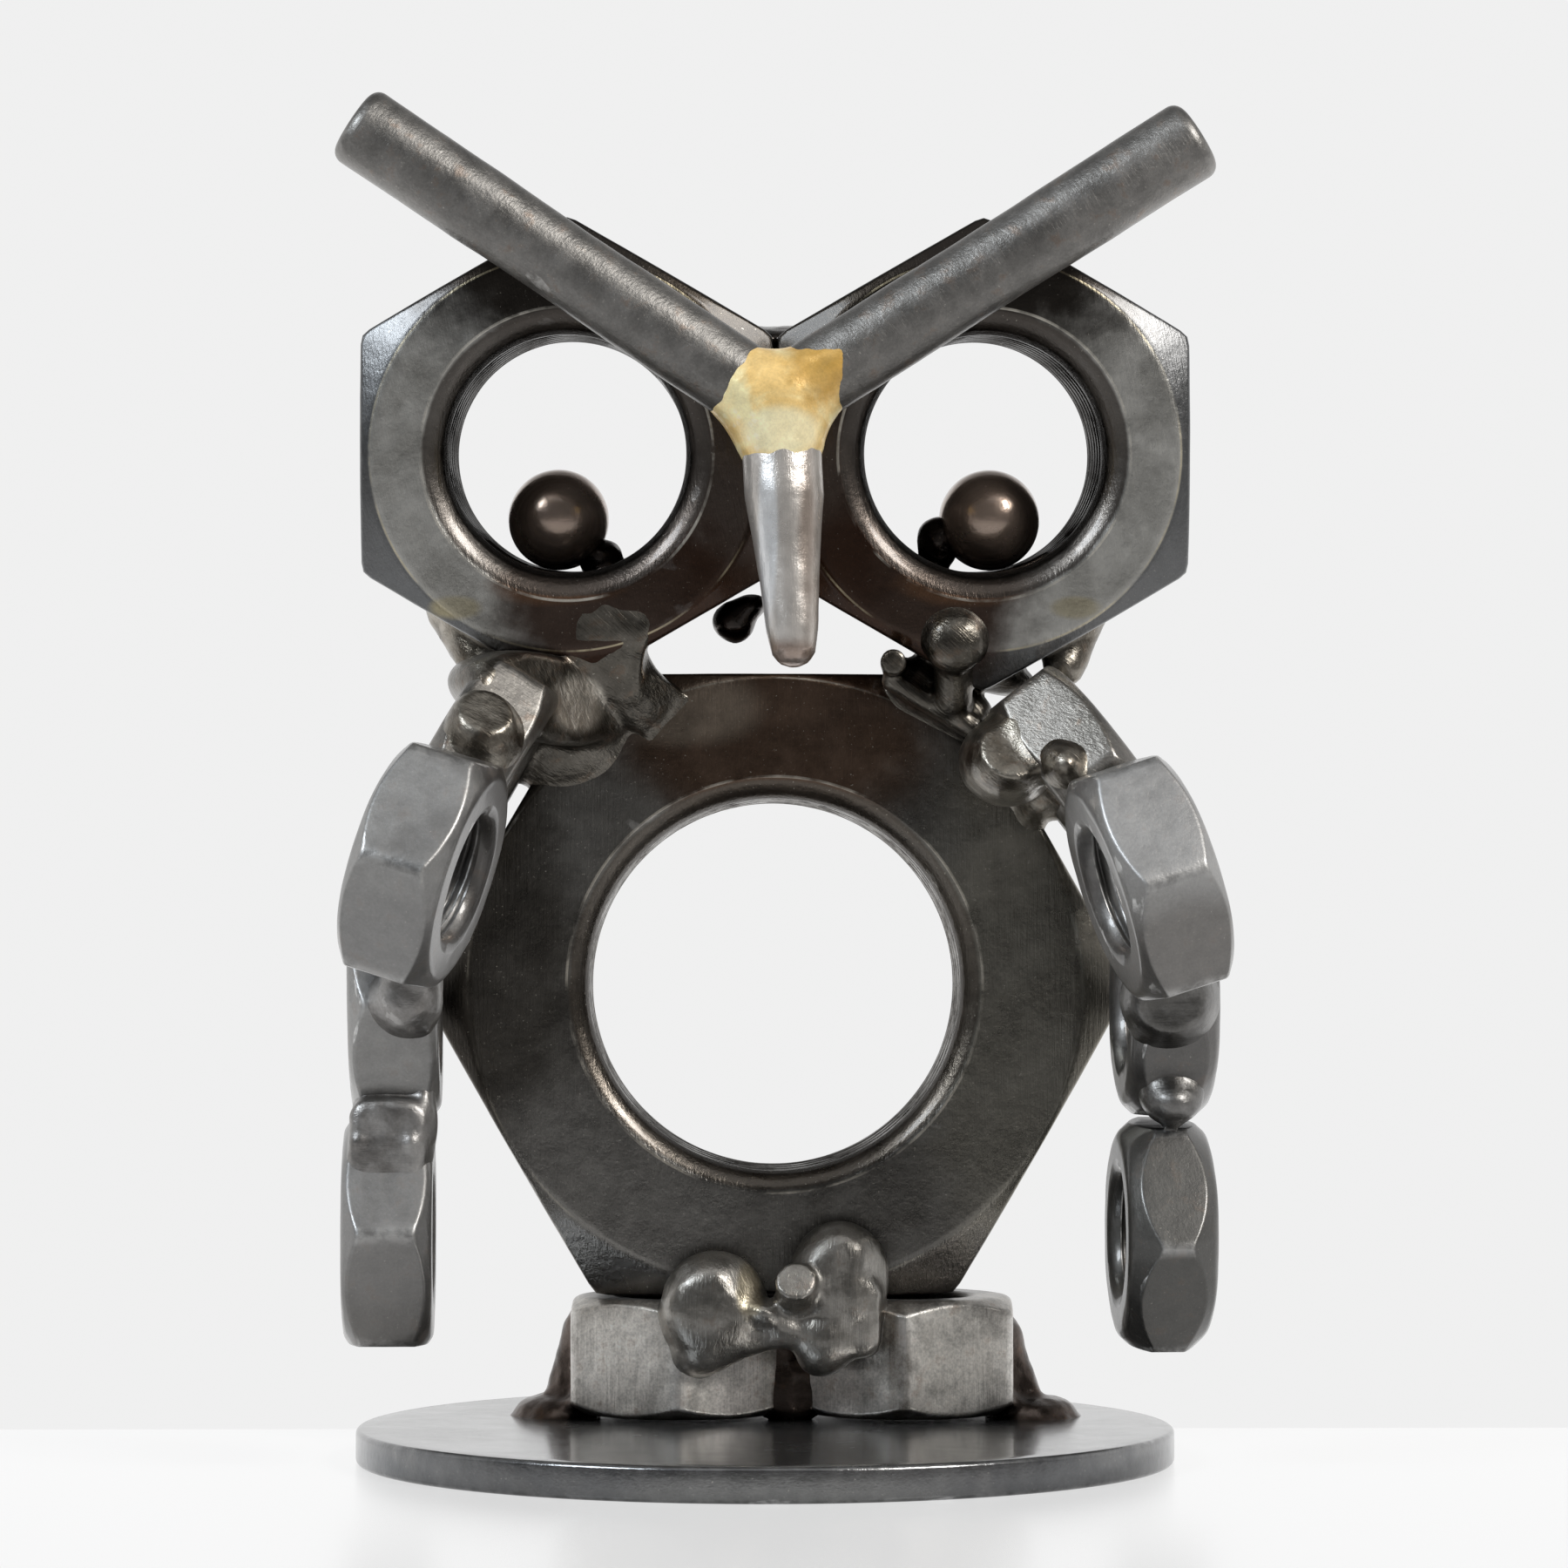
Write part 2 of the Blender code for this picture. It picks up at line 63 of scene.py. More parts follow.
# The camera stands in front of the disc, a little to the left, and looks down a slope on the middle of its
# top, which lies some pixels below the middle of the view. It is turned some pixels to the right.
VIEW = 1800
PIXELS_PER_MM = 13.1
AWAY = 430.0
ASIDE = -3.7
DOWN_SLOPE = 0.0955
PIXELS_DOWN = 733
PIXELS_RIGHT = 70
FOCUS = PIXELS_PER_MM * AWAY
yaw = PIXELS_RIGHT / FOCUS
pitch = (PIXELS_DOWN - DOWN_SLOPE * FOCUS) / FOCUS
ahead = Vector((math.sin(yaw) * math.cos(pitch), math.cos(yaw) * math.cos(pitch), math.sin(pitch)))
right = Vector((math.cos(yaw), -math.sin(yaw), 0))
up = right.cross(ahead)
eye_point = Vector((ASIDE, -AWAY, DISC_THICK + DOWN_SLOPE * AWAY))


def at(x, y, depth):
    # The point of the upright plane at this depth that stands at x, y in the camera's view
    way = ahead * FOCUS + right * (x - VIEW / 2) + up * (VIEW / 2 - y)
    return tuple(eye_point + way * ((depth - eye_point.y) / way.y))


# Noise and implicit shapes. A field takes an array of points and says how far outside the shape each lies.

def noise(p, size, seed=0):
    # Smooth value noise, -1 to 1, for an array of points in mm
    q = np.asarray(p, float) / size + (seed * 7.31 + 0.37)
    i = np.floor(q).astype(np.int64)
    f = q - i
    f = f * f * (3 - 2 * f)

    def value(a, b, c):
        # Scrambles a corner's whole numbers into one value
        n = (i[..., 0] + a) * 374761393 + (i[..., 1] + b) * 668265263
        n = n + (i[..., 2] + c) * 1274126177 + seed * 97
        n = (n ^ (n >> 13)) & 0xffffffff
        n = (n * 1103515245 + 12345) & 0xffffffff
        n = (n ^ (n >> 16)) * 69069 & 0xffffffff
        return n / 4294967295.0 * 2 - 1

    total = 0.0
    for a in (0, 1):
        for b in (0, 1):
            for c in (0, 1):
                w = (f[..., 0] if a else 1 - f[..., 0]) * (f[..., 1] if b else 1 - f[..., 1]) * (
                    f[..., 2] if c else 1 - f[..., 2])
                total = total + w * value(a, b, c)
    return total


def rough_noise(p, size, seed=0):
    rough = noise(p, size, seed) + 0.5 * noise(p, size * 0.47, seed + 3)
    return rough + 0.25 * noise(p, size * 0.21, seed + 6)


def smin(a, b, k):
    h = np.clip(0.5 + 0.5 * (b - a) / k, 0, 1)
    return b + (a - b) * h - k * h * (1 - h)


def smax(a, b, k):
    return -smin(-a, -b, k)


def turned(degrees):
    # A turn about Y as an array
    return np.array(Matrix.Rotation(math.radians(degrees), 3, "Y"))


def ellipsoid(centre, radii, turn=0.0):
    m = turned(turn)
    c, r = np.array(centre, float), np.array(radii, float)

    def field(p):
        q = (p - c) @ m
        k0 = np.linalg.norm(q / r, axis=-1)
        k1 = np.linalg.norm(q / (r * r), axis=-1)
        return k0 * (k0 - 1) / np.maximum(k1, 1e-9)
    field.box = (c - r.max(), c + r.max())
    return field


def capsule(a, b, ra, rb=None):
    a, b = np.array(a, float), np.array(b, float)
    rb = ra if rb is None else rb
    d = b - a

    def field(p):
        t = np.clip(((p - a) @ d) / (d @ d), 0, 1)
        return np.linalg.norm(p - a - t[..., None] * d, axis=-1) - (ra + (rb - ra) * t)
    r = max(ra, rb)
    field.box = (np.minimum(a, b) - r, np.maximum(a, b) + r)
    return field


def bar(a, b, r, edge=0.25):
    # A round bar with flat ends
    a, b = np.array(a, float), np.array(b, float)
    length = np.linalg.norm(b - a)
    d = (b - a) / length

    def field(p):
        along = (p - a) @ d
        across = np.linalg.norm(p - a - along[..., None] * d, axis=-1) - r + edge
        ends = np.abs(along - length / 2) - length / 2 + edge
        outer = np.hypot(np.maximum(across, 0), np.maximum(ends, 0))
        return outer + np.minimum(np.maximum(across, ends), 0) - edge
    field.box = (np.minimum(a, b) - r, np.maximum(a, b) + r)
    return field


def ground(shape, point, normal, soft=0.25):
    # The shape with a flat ground on it
    n = np.array(Vector(normal).normalized())

    def field(p):
        return smax(shape(p), (p - np.array(point)) @ n, soft)
    field.box = shape.box
    return field


def slab(centre, half, turn=0.0, edge=1.6):
    # A block with rounded edges
    m = turned(turn)
    c, h = np.array(centre, float), np.array(half, float) - edge

    def field(p):
        q = np.abs((p - c) @ m) - h
        return np.linalg.norm(np.maximum(q, 0), axis=-1) + np.minimum(q.max(axis=-1), 0) - edge
    r = np.linalg.norm(half)
    field.box = (c - r, c + r)
    return field


def surface(name, field, low, high, step):
    # A closed mesh where the field crosses nought: one point in each cell that the surface passes
    low = np.array(low, float) - 2 * step
    n = np.ceil((np.array(high, float) + 2 * step - low) / step).astype(int) + 1
    axes = [low[i] + step * np.arange(n[i]) for i in range(3)]
    grid = np.stack(np.meshgrid(*axes, indexing="ij"), axis=-1)
    f = np.empty(tuple(n))
    for i in range(n[0]):
        f[i] = field(grid[i])
    f[0], f[-1], f[:, 0], f[:, -1], f[:, :, 0], f[:, :, -1] = (1,) * 6
    inside = f < 0
    cells = tuple(n - 1)
    total = np.zeros(cells + (3,))
    count = np.zeros(cells)
    crossings = []
    for ax in range(3):
        a = [slice(None)] * 3
        b = [slice(None)] * 3
        a[ax], b[ax] = slice(0, -1), slice(1, None)
        fa, fb = f[tuple(a)], f[tuple(b)]
        cross = inside[tuple(a)] != inside[tuple(b)]
        t = np.where(cross, fa / np.where(cross, fa - fb, 1), 0)
        crossings.append((cross, inside[tuple(a)]))
        o1, o2 = [k for k in range(3) if k != ax]
        for d1 in (0, 1):
            for d2 in (0, 1):
                s = [slice(None)] * 3
                s[o1] = slice(d1, d1 + cells[o1])
                s[o2] = slice(d2, d2 + cells[o2])
                c = cross[tuple(s)]
                count += c
                total[..., ax] += np.where(c, t[tuple(s)], 0)
                total[..., o1] += c * d1
                total[..., o2] += c * d2
    active = count > 0
    index = -np.ones(cells, int)
    index[active] = np.arange(active.sum())
    where = np.argwhere(active)
    verts = low + step * (where + total[active] / count[active][:, None])
    faces = []
    for ax in range(3):
        cross, first = crossings[ax]
        o1, o2 = [(1, 2), (2, 0), (0, 1)][ax]
        s = [slice(None)] * 3
        s[o1] = slice(1, -1)
        s[o2] = slice(1, -1)
        crossed = np.argwhere(cross[tuple(s)])
        crossed[:, o1] += 1
        crossed[:, o2] += 1
        out = first[tuple(crossed.T)]
        quad = []
        for d1, d2 in ((1, 1), (0, 1), (0, 0), (1, 0)):
            c = crossed.copy()
            c[:, o1] -= d1
            c[:, o2] -= d2
            quad.append(index[tuple(c.T)])
        quad = np.stack(quad, axis=1)
        faces.append(np.where(out[:, None], quad, quad[:, ::-1]))
    faces = np.concatenate(faces)
    return shown(name, verts, faces.tolist())


def shown(name, verts, faces, smooth=True):
    mesh = bpy.data.meshes.new(name)
    mesh.from_pydata((np.asarray(verts) * MM).tolist(), [], faces)
    mesh.validate()
    if smooth:
        mesh.shade_smooth()
    thing = bpy.data.objects.new(name, mesh)
    bpy.context.scene.collection.objects.link(thing)
    return thing


# Metal: texture noise runs from about LOW to HIGH
LOW, HIGH = 0.3, 0.7
SHEEN = 0.1
LONG_MARKS = 20
# Painted shade for the wing nuts' sides next to the body
INNER_SHADE = (0.03, 0.024, 0.02)
STAIN = (0.16, 0.09, 0.05)
# Colour of the pale specks that paint glints
PALE_GLINT = (0.7, 0.66, 0.58)
# Colour of the painted shade in hollows
SHADE_IN_HOLLOWS = (0.022, 0.017, 0.013)


class Nodes:
    # Short words for making and joining nodes
    def __init__(self, tree):
        self.tree = tree

    def node(self, kind, **values):
        made = self.tree.nodes.new(kind)
        for key, value in values.items():
            if hasattr(made, key):
                setattr(made, key, value)
            else:
                made.inputs[key.replace("_", " ")].default_value = value
        return made

    def feed(self, value, socket):
        if hasattr(value, "links"):
            self.tree.links.new(value, socket)
        else:
            socket.default_value = value

    def mix(self, kind, share, a, b):
        made = self.node("ShaderNodeMix", data_type="RGBA", blend_type=kind)
        for socket, value in ((0, share), (6, a), (7, b)):
            self.feed(value, made.inputs[socket])
        return made.outputs[2]

    def over(self, colour, tint, amount):
        return self.mix("MIX", amount, colour, (*tint, 1))

    def work_out(self, node, values):
        for socket, value in enumerate(values):
            self.feed(value, node.inputs[socket])
        return node.outputs

    def ramp(self, source, low, high, a=0.0, b=1.0):
        made = self.node("ShaderNodeMapRange", interpolation_type="SMOOTHSTEP")
        return self.work_out(made, (source, low, high, a, b))[0]

    def maths(self, kind, *values):
        return self.work_out(self.node("ShaderNodeMath", operation=kind), values)[0]

    def vector(self, kind, *values):
        outputs = self.work_out(self.node("ShaderNodeVectorMath", operation=kind), values)
        return outputs["Value" if kind == "LENGTH" else "Vector"]

    def clouds(self, source, scale, detail, roughness, distortion=0.0):
        made = self.node("ShaderNodeTexNoise", Scale=scale, Detail=detail, Roughness=roughness,
                         Distortion=distortion)
        self.feed(source, made.inputs["Vector"])
        return made.outputs[0]

    def bump(self, source, strength, depth, under=None):
        made = self.node("ShaderNodeBump", Strength=strength, Distance=depth)
        self.feed(source, made.inputs["Height"])
        if under is not None:
            self.feed(under, made.inputs["Normal"])
        return made.outputs[0]


class Steel(Nodes):
    # The nodes of one steel look, with its place on the piece and its noise at three sizes
    def __init__(self, tree, patch):
        super().__init__(tree)
        self.place = self.node("ShaderNodeTexCoord").outputs["Object"]
        self.broad = self.clouds(self.place, 1 / patch, 4.0, 0.55, 0.5)
        self.fine = self.clouds(self.place, 4200.0, 3.0, 0.6)
        self.cloud = self.clouds(self.place, 620.0, 5.0, 0.62)

    def patch(self, colour, centre, radii, tint, share):
        # An oval patch with a wavy edge
        oval = self.node("ShaderNodeMapping", vector_type="POINT")
        oval.inputs["Scale"].default_value = [1 / (v * MM) for v in radii]
        oval.inputs["Location"].default_value = [-c / v for c, v in zip(centre, radii)]
        self.feed(self.place, oval.inputs["Vector"])
        away = self.vector("LENGTH", oval.outputs[0])
        wavy = self.maths("MULTIPLY_ADD", self.cloud, 0.25, self.maths("MULTIPLY_ADD", self.broad, 0.4, away))
        return self.over(colour, tint, self.ramp(wavy, 1.1, 1.7, share, 0.0))

    def from_axis(self, centre, axis):
        # How far a point lies from the line through the centre along the axis
        away = self.vector("SUBTRACT", self.place, [c * MM for c in centre])
        return self.vector("LENGTH", self.vector("CROSS_PRODUCT", away, axis))

    def outside(self, colour, away, radius, tint, share):
        return self.over(colour, tint, self.ramp(away, (radius - 0.1) * MM, (radius + 0.2) * MM, 0.0, share))

    def ring(self, colour, away, radius, tint, share, width=0.0):
        # What lies within the radius, or a broken line of this width at it
        if width:
            line = self.maths("ABSOLUTE", self.maths("SUBTRACT", away, radius * MM))
            whole = self.ramp(line, 0.4 * width * MM, width * MM, share, 0.0)
            amount = self.maths("MULTIPLY", whole, self.ramp(self.broad, 0.4, 0.62))
        else:
            wavy = self.maths("MULTIPLY_ADD", self.broad, 0.0006, away)
            amount = self.ramp(wavy, (radius + 0.15) * MM, (radius + 0.5) * MM, share, 0.0)
        return self.over(colour, tint, amount)

    def shade(self, mottle, contact_shade):
        # Mottled grey, with painted shade where surfaces are close together
        grain = self.ramp(self.fine, LOW, HIGH, -mottle * 0.6, mottle * 0.6)
        shade = self.maths("ADD", grain, self.ramp(self.cloud, LOW, HIGH, 1 - mottle, 1 + mottle))
        # Ambient occlusion darkens the colour here: painted shade beside and between parts
        occlusion = self.node("ShaderNodeAmbientOcclusion", Distance=0.0022)
        occlusion.samples = 6
        shade = self.maths("MULTIPLY", shade, self.ramp(occlusion.outputs["AO"], 0.15, 0.85, 1 - contact_shade, 1.0))
        grey = self.node("ShaderNodeCombineColor")
        for socket in range(3):
            self.feed(shade, grey.inputs[socket])
        return grey.outputs[0]

    def relief(self, bump, marks):
        # Fine grain, soft dents and, where there are marks, long scratches along their direction
        normal = self.bump(self.fine, 0.3 * bump, 0.00004)
        normal = self.bump(self.cloud, 0.5 * bump, 0.00012, normal)
        if marks:
            turn, strength, fineness = marks
            along = self.node("ShaderNodeMapping", vector_type="TEXTURE")
            along.inputs["Rotation"].default_value = (0, math.radians(turn), 0)
            along.inputs["Scale"].default_value = (LONG_MARKS / fineness, 1 / fineness, 1 / fineness)
            self.feed(self.place, along.inputs["Vector"])
            lines = self.clouds(along.outputs[0], 1.0, 3.0, 0.7)
            normal = self.bump(lines, 0.5 * strength, 0.00005, normal)
        return normal


def steel(name, dark, light, rough, marks=None, tints=(), centre=None, axis=FRONT, outside=None,
          rings=(), coat=0.3, patch=0.006, bump=1.0, metal=1.0, mottle=0.12, worn_and_lit_edges=0.6, hollow_shade=0.5,
          stain=0.0, glints=0.0, contact_shade=0.75):
    # Lacquered steel in two tones, with mottle, marks, tints, stains, specks as painted glints, edges
    # lightened as wear and painted highlight, and painted shade in hollows.
    # marks: turn about Y in degrees, strength, fineness. tints: centre, half sizes in mm, colour, share.
    # outside and rings lie round the axis through the centre: radius, colour, share and, for a line, width.
    look = bpy.data.materials.new(name)
    look.use_nodes = True
    shader = look.node_tree.nodes["Principled BSDF"]
    nodes = Steel(look.node_tree, patch)
    away = nodes.from_axis(centre, axis) if rings else None

    colour = nodes.mix("MIX", nodes.ramp(nodes.broad, 0.36, 0.64), (*dark, 1), (*light, 1))
    if outside:
        colour = nodes.outside(colour, away, *outside)
    for tint in tints:
        colour = nodes.patch(colour, *tint)
    for ring in rings:
        colour = nodes.ring(colour, away, *ring)
    if stain:
        colour = nodes.over(colour, STAIN, nodes.ramp(nodes.cloud, 0.55, 0.7, 0.0, stain))
    # Pale specks: painted glints
    if glints:
        colour = nodes.over(colour, PALE_GLINT, nodes.ramp(nodes.fine, 0.67, 0.75, 0.0, glints))
    colour = nodes.mix("MULTIPLY", 1.0, colour, nodes.shade(mottle, contact_shade))
    point = nodes.node("ShaderNodeNewGeometry").outputs["Pointiness"]
    # Convex edges lightened: partly wear, partly painted highlight
    edge = nodes.ramp(point, 0.51, 0.56, 0.0, worn_and_lit_edges)
    edge = nodes.maths("MULTIPLY", edge, nodes.ramp(nodes.cloud, 0.35, 0.62))
    bare_and_lit = [min(1.0, c * 1.6 + 0.22) for c in light]
    colour = nodes.over(colour, bare_and_lit, edge)
    # Painted shade in the hollows, where the surface curves inward
    colour = nodes.over(colour, SHADE_IN_HOLLOWS, nodes.ramp(point, 0.42, 0.488, hollow_shade, 0.0))
    nodes.feed(colour, shader.inputs["Base Color"])

    wide = nodes.ramp(nodes.broad, LOW, HIGH, rough - 0.04, rough + 0.05)
    gloss = nodes.maths("MULTIPLY_ADD", nodes.cloud, SHEEN, nodes.maths("SUBTRACT", wide, 0.5 * SHEEN))
    nodes.feed(gloss, shader.inputs["Roughness"])
    shader.inputs["Metallic"].default_value = metal
    shader.inputs["Coat Weight"].default_value = coat
    shader.inputs["Coat Roughness"].default_value = 0.12
    nodes.feed(nodes.relief(bump, marks), shader.inputs["Normal"])
    return look


# Nuts

def pose(centre, axis, turn):
    z = Vector(axis).normalized()
    level = Vector((0, 0, 1)) if abs(z.z) < 0.9 else Vector((0, 1, 0))
    x = level.cross(z).normalized()
    y = z.cross(x)
    rows = Matrix((x, y, z)).transposed().to_4x4()
    return Matrix.Translation(Vector(centre)) @ rows @ Matrix.Rotation(math.radians(turn), 4, "Z")


def rounded(points, radii, counts):
    # Points along a closed outline with each corner rounded; points is a list of (r, z) arrays
    out = []
    n = len(points)
    for i in range(n):
        p, a, b = points[i], points[i - 1], points[(i + 1) % n]
        da, db = a - p, b - p
        la, lb = np.linalg.norm(da, axis=1), np.linalg.norm(db, axis=1)
        da, db = da / la[:, None], db / lb[:, None]
        half = np.arccos(np.clip((da * db).sum(1), -0.9999, 0.9999)) / 2
        reach = np.minimum(radii[i] / np.tan(half), 0.42 * np.minimum(la, lb))[:, None]
        start, end = p + da * reach, p + db * reach
        for k in range(counts[i]):
            t = k / max(1, counts[i] - 1)
            out.append(start * (1 - t) ** 2 + 2 * p * t * (1 - t) + end * t * t)
    return out


# The rounded mouth of a bore: shares of its width inward from its edge, and downward
BELL = [(1.0, 0.86), (0.82, 0.52), (0.58, 0.27), (0.28, 0.08), (0.0, 0.0)]

# Each flat face of a nut is in six bands, and its dents are this deep
FACE_PARTS = 6
NUT_WAVE = 0.03


def bands(count, rows, n):
    # Bands of faces, each between one row of n points and the next; the last row meets the first
    return [(i * n + k, i * n + (k + 1) % n, (i + 1) % rows * n + (k + 1) % n, (i + 1) % rows * n + k)
            for i in range(count) for k in range(n)]


class Nut:
    # af is the width across flats. The bore's mouth is wider by ream all round, the round end faces are
    # narrower than af by rim, and the corners fall away from them at the slope.
    def __init__(self, node, look, axis, turn, seed, af, thick, bore, ream, rim, pitch, steps, edge,
                 slope=TAN30):
        self.node, self.look, self.seed = node, look, seed
        self.af, self.thick, self.bore, self.ream, self.rim = af, thick, bore, ream, rim
        self.pitch, self.steps, self.edge, self.slope = pitch, steps, edge, slope
        self.matrix = pose(middle(node) + (HEAD_SINKS if node.startswith("eye") else Vector()), axis, turn)
        self.inverse = np.array(self.matrix.inverted())

    def field(self, p):
        # How far outside the nut, for the welds that run onto it
        q = p @ self.inverse[:3, :3].T + self.inverse[:3, 3]
        x, y, z = np.abs(q[..., 0]), np.abs(q[..., 1]), np.abs(q[..., 2])
        flat = np.maximum(y, x * COS30 + y * 0.5) - self.af / 2
        r = np.hypot(x, y)
        half = self.thick / 2
        lean = math.hypot(1, self.slope)
        cone = (r - (self.af - self.rim) / 2) * self.slope / lean + (z - half) / lean
        out = smax(smax(flat, z - half, self.edge), cone, self.edge)
        mouth = self.bore / 2 + self.ream
        out = smax(out, ((mouth - r) * TAN30 + z - half) / math.hypot(1, TAN30), 0.2)
        return np.maximum(out, self.bore / 2 - r)

    def outline(self, angle):
        # Rows of (radius, height): bore mouth, face, flats, face and mouth again
        n, half = self.steps, self.thick / 2
        flats = [self.af / 2 / np.maximum(np.cos(angle - math.radians(30 + 60 * k)), 0.2) for k in range(6)]
        ordered = np.sort(np.array(flats), axis=0)
        radius = smin(ordered[0], ordered[1], self.edge * 1.6)
        face = (self.af - self.rim) / 2
        mouth = self.bore / 2 + self.ream

        def points(r, z):
            return np.stack([np.broadcast_to(r, n), np.broadcast_to(z, n)], axis=1).astype(float)

        def side(s):
            bell = [points(mouth - self.ream * a, s * (half - self.ream * b)) for a, b in BELL]
            return bell + [points(face, s * half), points(radius, s * (half - (radius - face) * self.slope))]

        corners = side(1) + side(-1)[::-1]
        radii = [0.2, 1.5, 2.0, 2.5, self.edge * 0.9, self.edge * 5, self.edge * 1.3]
        counts = [3, 4, 4, 4, 6, 7, 7]
        counts = counts + counts[::-1]
        path = rounded(corners, radii + radii[::-1], counts)
        ends = np.cumsum(counts) - 1
        rows = []
        for i, p in enumerate(path):
            rows.append(p)
            if i in ends[4:9]:
                after = path[(i + 1) % len(path)]
                rows += [p + (after - p) * k / FACE_PARTS for k in range(1, FACE_PARTS)]
        return rows

    def thread(self, start, end, angle):
        # Rows up the bore; the thread winds round once a pitch and runs out at both mouths
        turns = (self.thick - 2 * self.ream * BELL[0][1]) / self.pitch
        count = max(8, int(turns * 12))
        depth = 0.5 * self.pitch
        rows = []
        for k in range(1, count):
            t = k / count
            p = start + (end - start) * t
            u = (p[:, 1] / self.pitch - angle / (2 * math.pi)) % 1.0
            ridge = np.clip(np.abs(u - 0.5) * 2.5 - 0.12, 0, 1)
            fade = np.clip(np.minimum(t, 1 - t) * turns * 3.2, 0, 1)
            rows.append(p + np.stack([depth * ridge * fade, np.zeros(self.steps)], axis=1))
        return rows

    def make(self, finish):
        n = self.steps
        angle = 2 * math.pi * np.arange(n) / n
        rows = self.outline(angle)
        rows = np.array(rows + self.thread(rows[-1], rows[0], angle))
        verts = np.stack([rows[..., 0] * np.cos(angle), rows[..., 0] * np.sin(angle), rows[..., 1]], axis=-1)
        local = verts.reshape(-1, 3)
        dents = noise(local, self.af * 0.22, self.seed) * NUT_WAVE
        dents = dents + noise(local, self.af * 0.07, self.seed + 1) * NUT_WAVE * 0.5
        unit = local / np.maximum(np.linalg.norm(local, axis=1), 1e-6)[:, None]
        local = local - unit * np.abs(dents)[:, None]
        m = np.array(self.matrix)
        world = local @ m[:3, :3].T + m[:3, 3]
        thing = shown(self.node + "_look", world, bands(len(rows), len(rows), n))
        thing.data.flip_normals()
        return dress(thing, finish, self.node)


def dress(thing, finish, node):
    thing.data.materials.clear()
    thing.data.materials.append(finish)
    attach(thing, "root")
    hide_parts(node)
    return thing


# The head leans forward by 5 degrees and sits lower than the solids, which closes the gap at the neck
HEAD_LEAN = math.radians(5)
HEAD_SINKS = Vector((0, 0, -0.34))
head_front = Vector((0, -math.cos(HEAD_LEAN), -math.sin(HEAD_LEAN)))

BODY_SIZE = dict(af=54.8, thick=18.0, bore=32.8, ream=1.85, rim=0.8, pitch=4.0, steps=192, edge=0.45)
EYE_SIZE = dict(af=36.0, thick=21.5, bore=20.8, ream=2.3, rim=1.7, pitch=3.0, steps=168, edge=0.45)
FOOT_SIZE = dict(af=19.3, thick=10.4, bore=10.4, ream=1.3, rim=1.3, pitch=1.75, steps=108, edge=0.4)
WING_SIZE = dict(af=19.1, bore=10.4, ream=1.2, pitch=1.75, steps=108, edge=0.4)
nuts = {
    "body_nut": Nut("body_nut", "body", FRONT, 0, 1, **BODY_SIZE),
    "eye_nut_left": Nut("eye_nut_left", "eye_left", head_front, 30, 2, **EYE_SIZE),
    "eye_nut_right": Nut("eye_nut_right", "eye_right", head_front, 30, 3, **EYE_SIZE),
    "foot_nut_left": Nut("foot_nut_left", "foot", UPWARD, 89, 4, **FOOT_SIZE),
    "foot_nut_right": Nut("foot_nut_right", "foot", UPWARD, 88.5, 5, **FOOT_SIZE),
}

# The wing nuts, numbered from the shoulder down: where each one's axis points and how thick each pair is
wing_axes = {
    ("left", 1): (-0.867, 0.0, 0.498), ("right", 1): (0.795, 0.0, 0.607),
    ("left", 2): (0.94, -0.17, -0.3), ("right", 2): (-0.94, -0.12, -0.31),
    ("left", 3): (1.0, 0.03, 0.02), ("right", 3): (-1.0, -0.04, 0.0),
    ("left", 4): (1.0, 0.035, 0.0), ("right", 4): (-1.0, -0.05, 0.0),
}
wing_thick = {1: 7.4, 2: 8.2, 3: 7.6, 4: 7.7}
last_turn = {"left": -2.0, "right": -4.0}
first_seed = {"left": 10, "right": 15}
for (word, number), axis in wing_axes.items():
    name = "wing_nut_%s_%d" % (word, number)
    turn = last_turn[word] if number == 4 else 0
    rim, slope = (2.0, 1.1) if word == "right" and number > 2 else (1.5, 0.7)
    nuts[name] = Nut(name, "shoulder" if number == 1 else "wing", axis, turn, first_seed[word] + number,
                     thick=wing_thick[number], rim=rim, slope=slope, **WING_SIZE)


# Looks, one section for each material
looks = {}

# Body: dark, a bright line round the bore's mouth that is wear and painted highlight, brown heat tint on top
looks["body"] = steel(
    "dark_steel_body", (0.14, 0.132, 0.12), (0.19, 0.182, 0.168), rough=0.3, marks=(90, 1.7, 3800),
    tints=[((0.85, 1, 64), (13, 12, 8), (0.11, 0.062, 0.037), 0.85),
           # The patches at the left, the right and the lower left are painted shade and painted light
           ((-27, 1, 46), (9, 12, 22), (0.07, 0.062, 0.052), 0.7),
           ((24, 1, 40), (10, 12, 22), (0.25, 0.235, 0.2), 0.8),
           ((-7, 1.6, 65.8), (6.0, 3, 3.0), (0.34, 0.28, 0.22), 0.7),
           ((-14, 1.6, 24), (12, 6, 8), (0.26, 0.25, 0.235), 0.7)],
    # Painted shade on the corners, in the countersink and down the bore; the two bright lines are wear and
    # painted highlight
    centre=tuple(middle("body_nut")), outside=(27.1, (0.07, 0.06, 0.052), 0.7),
    rings=[(18.0, (0.1, 0.085, 0.07), 0.85),
           (16.7, (0.05, 0.043, 0.036), 0.8),
           (18.3, (0.8, 0.74, 0.64), 0.7, 0.16),
           (27.0, (0.45, 0.42, 0.36), 0.5, 0.12)],
    mottle=0.08, glints=0.7)

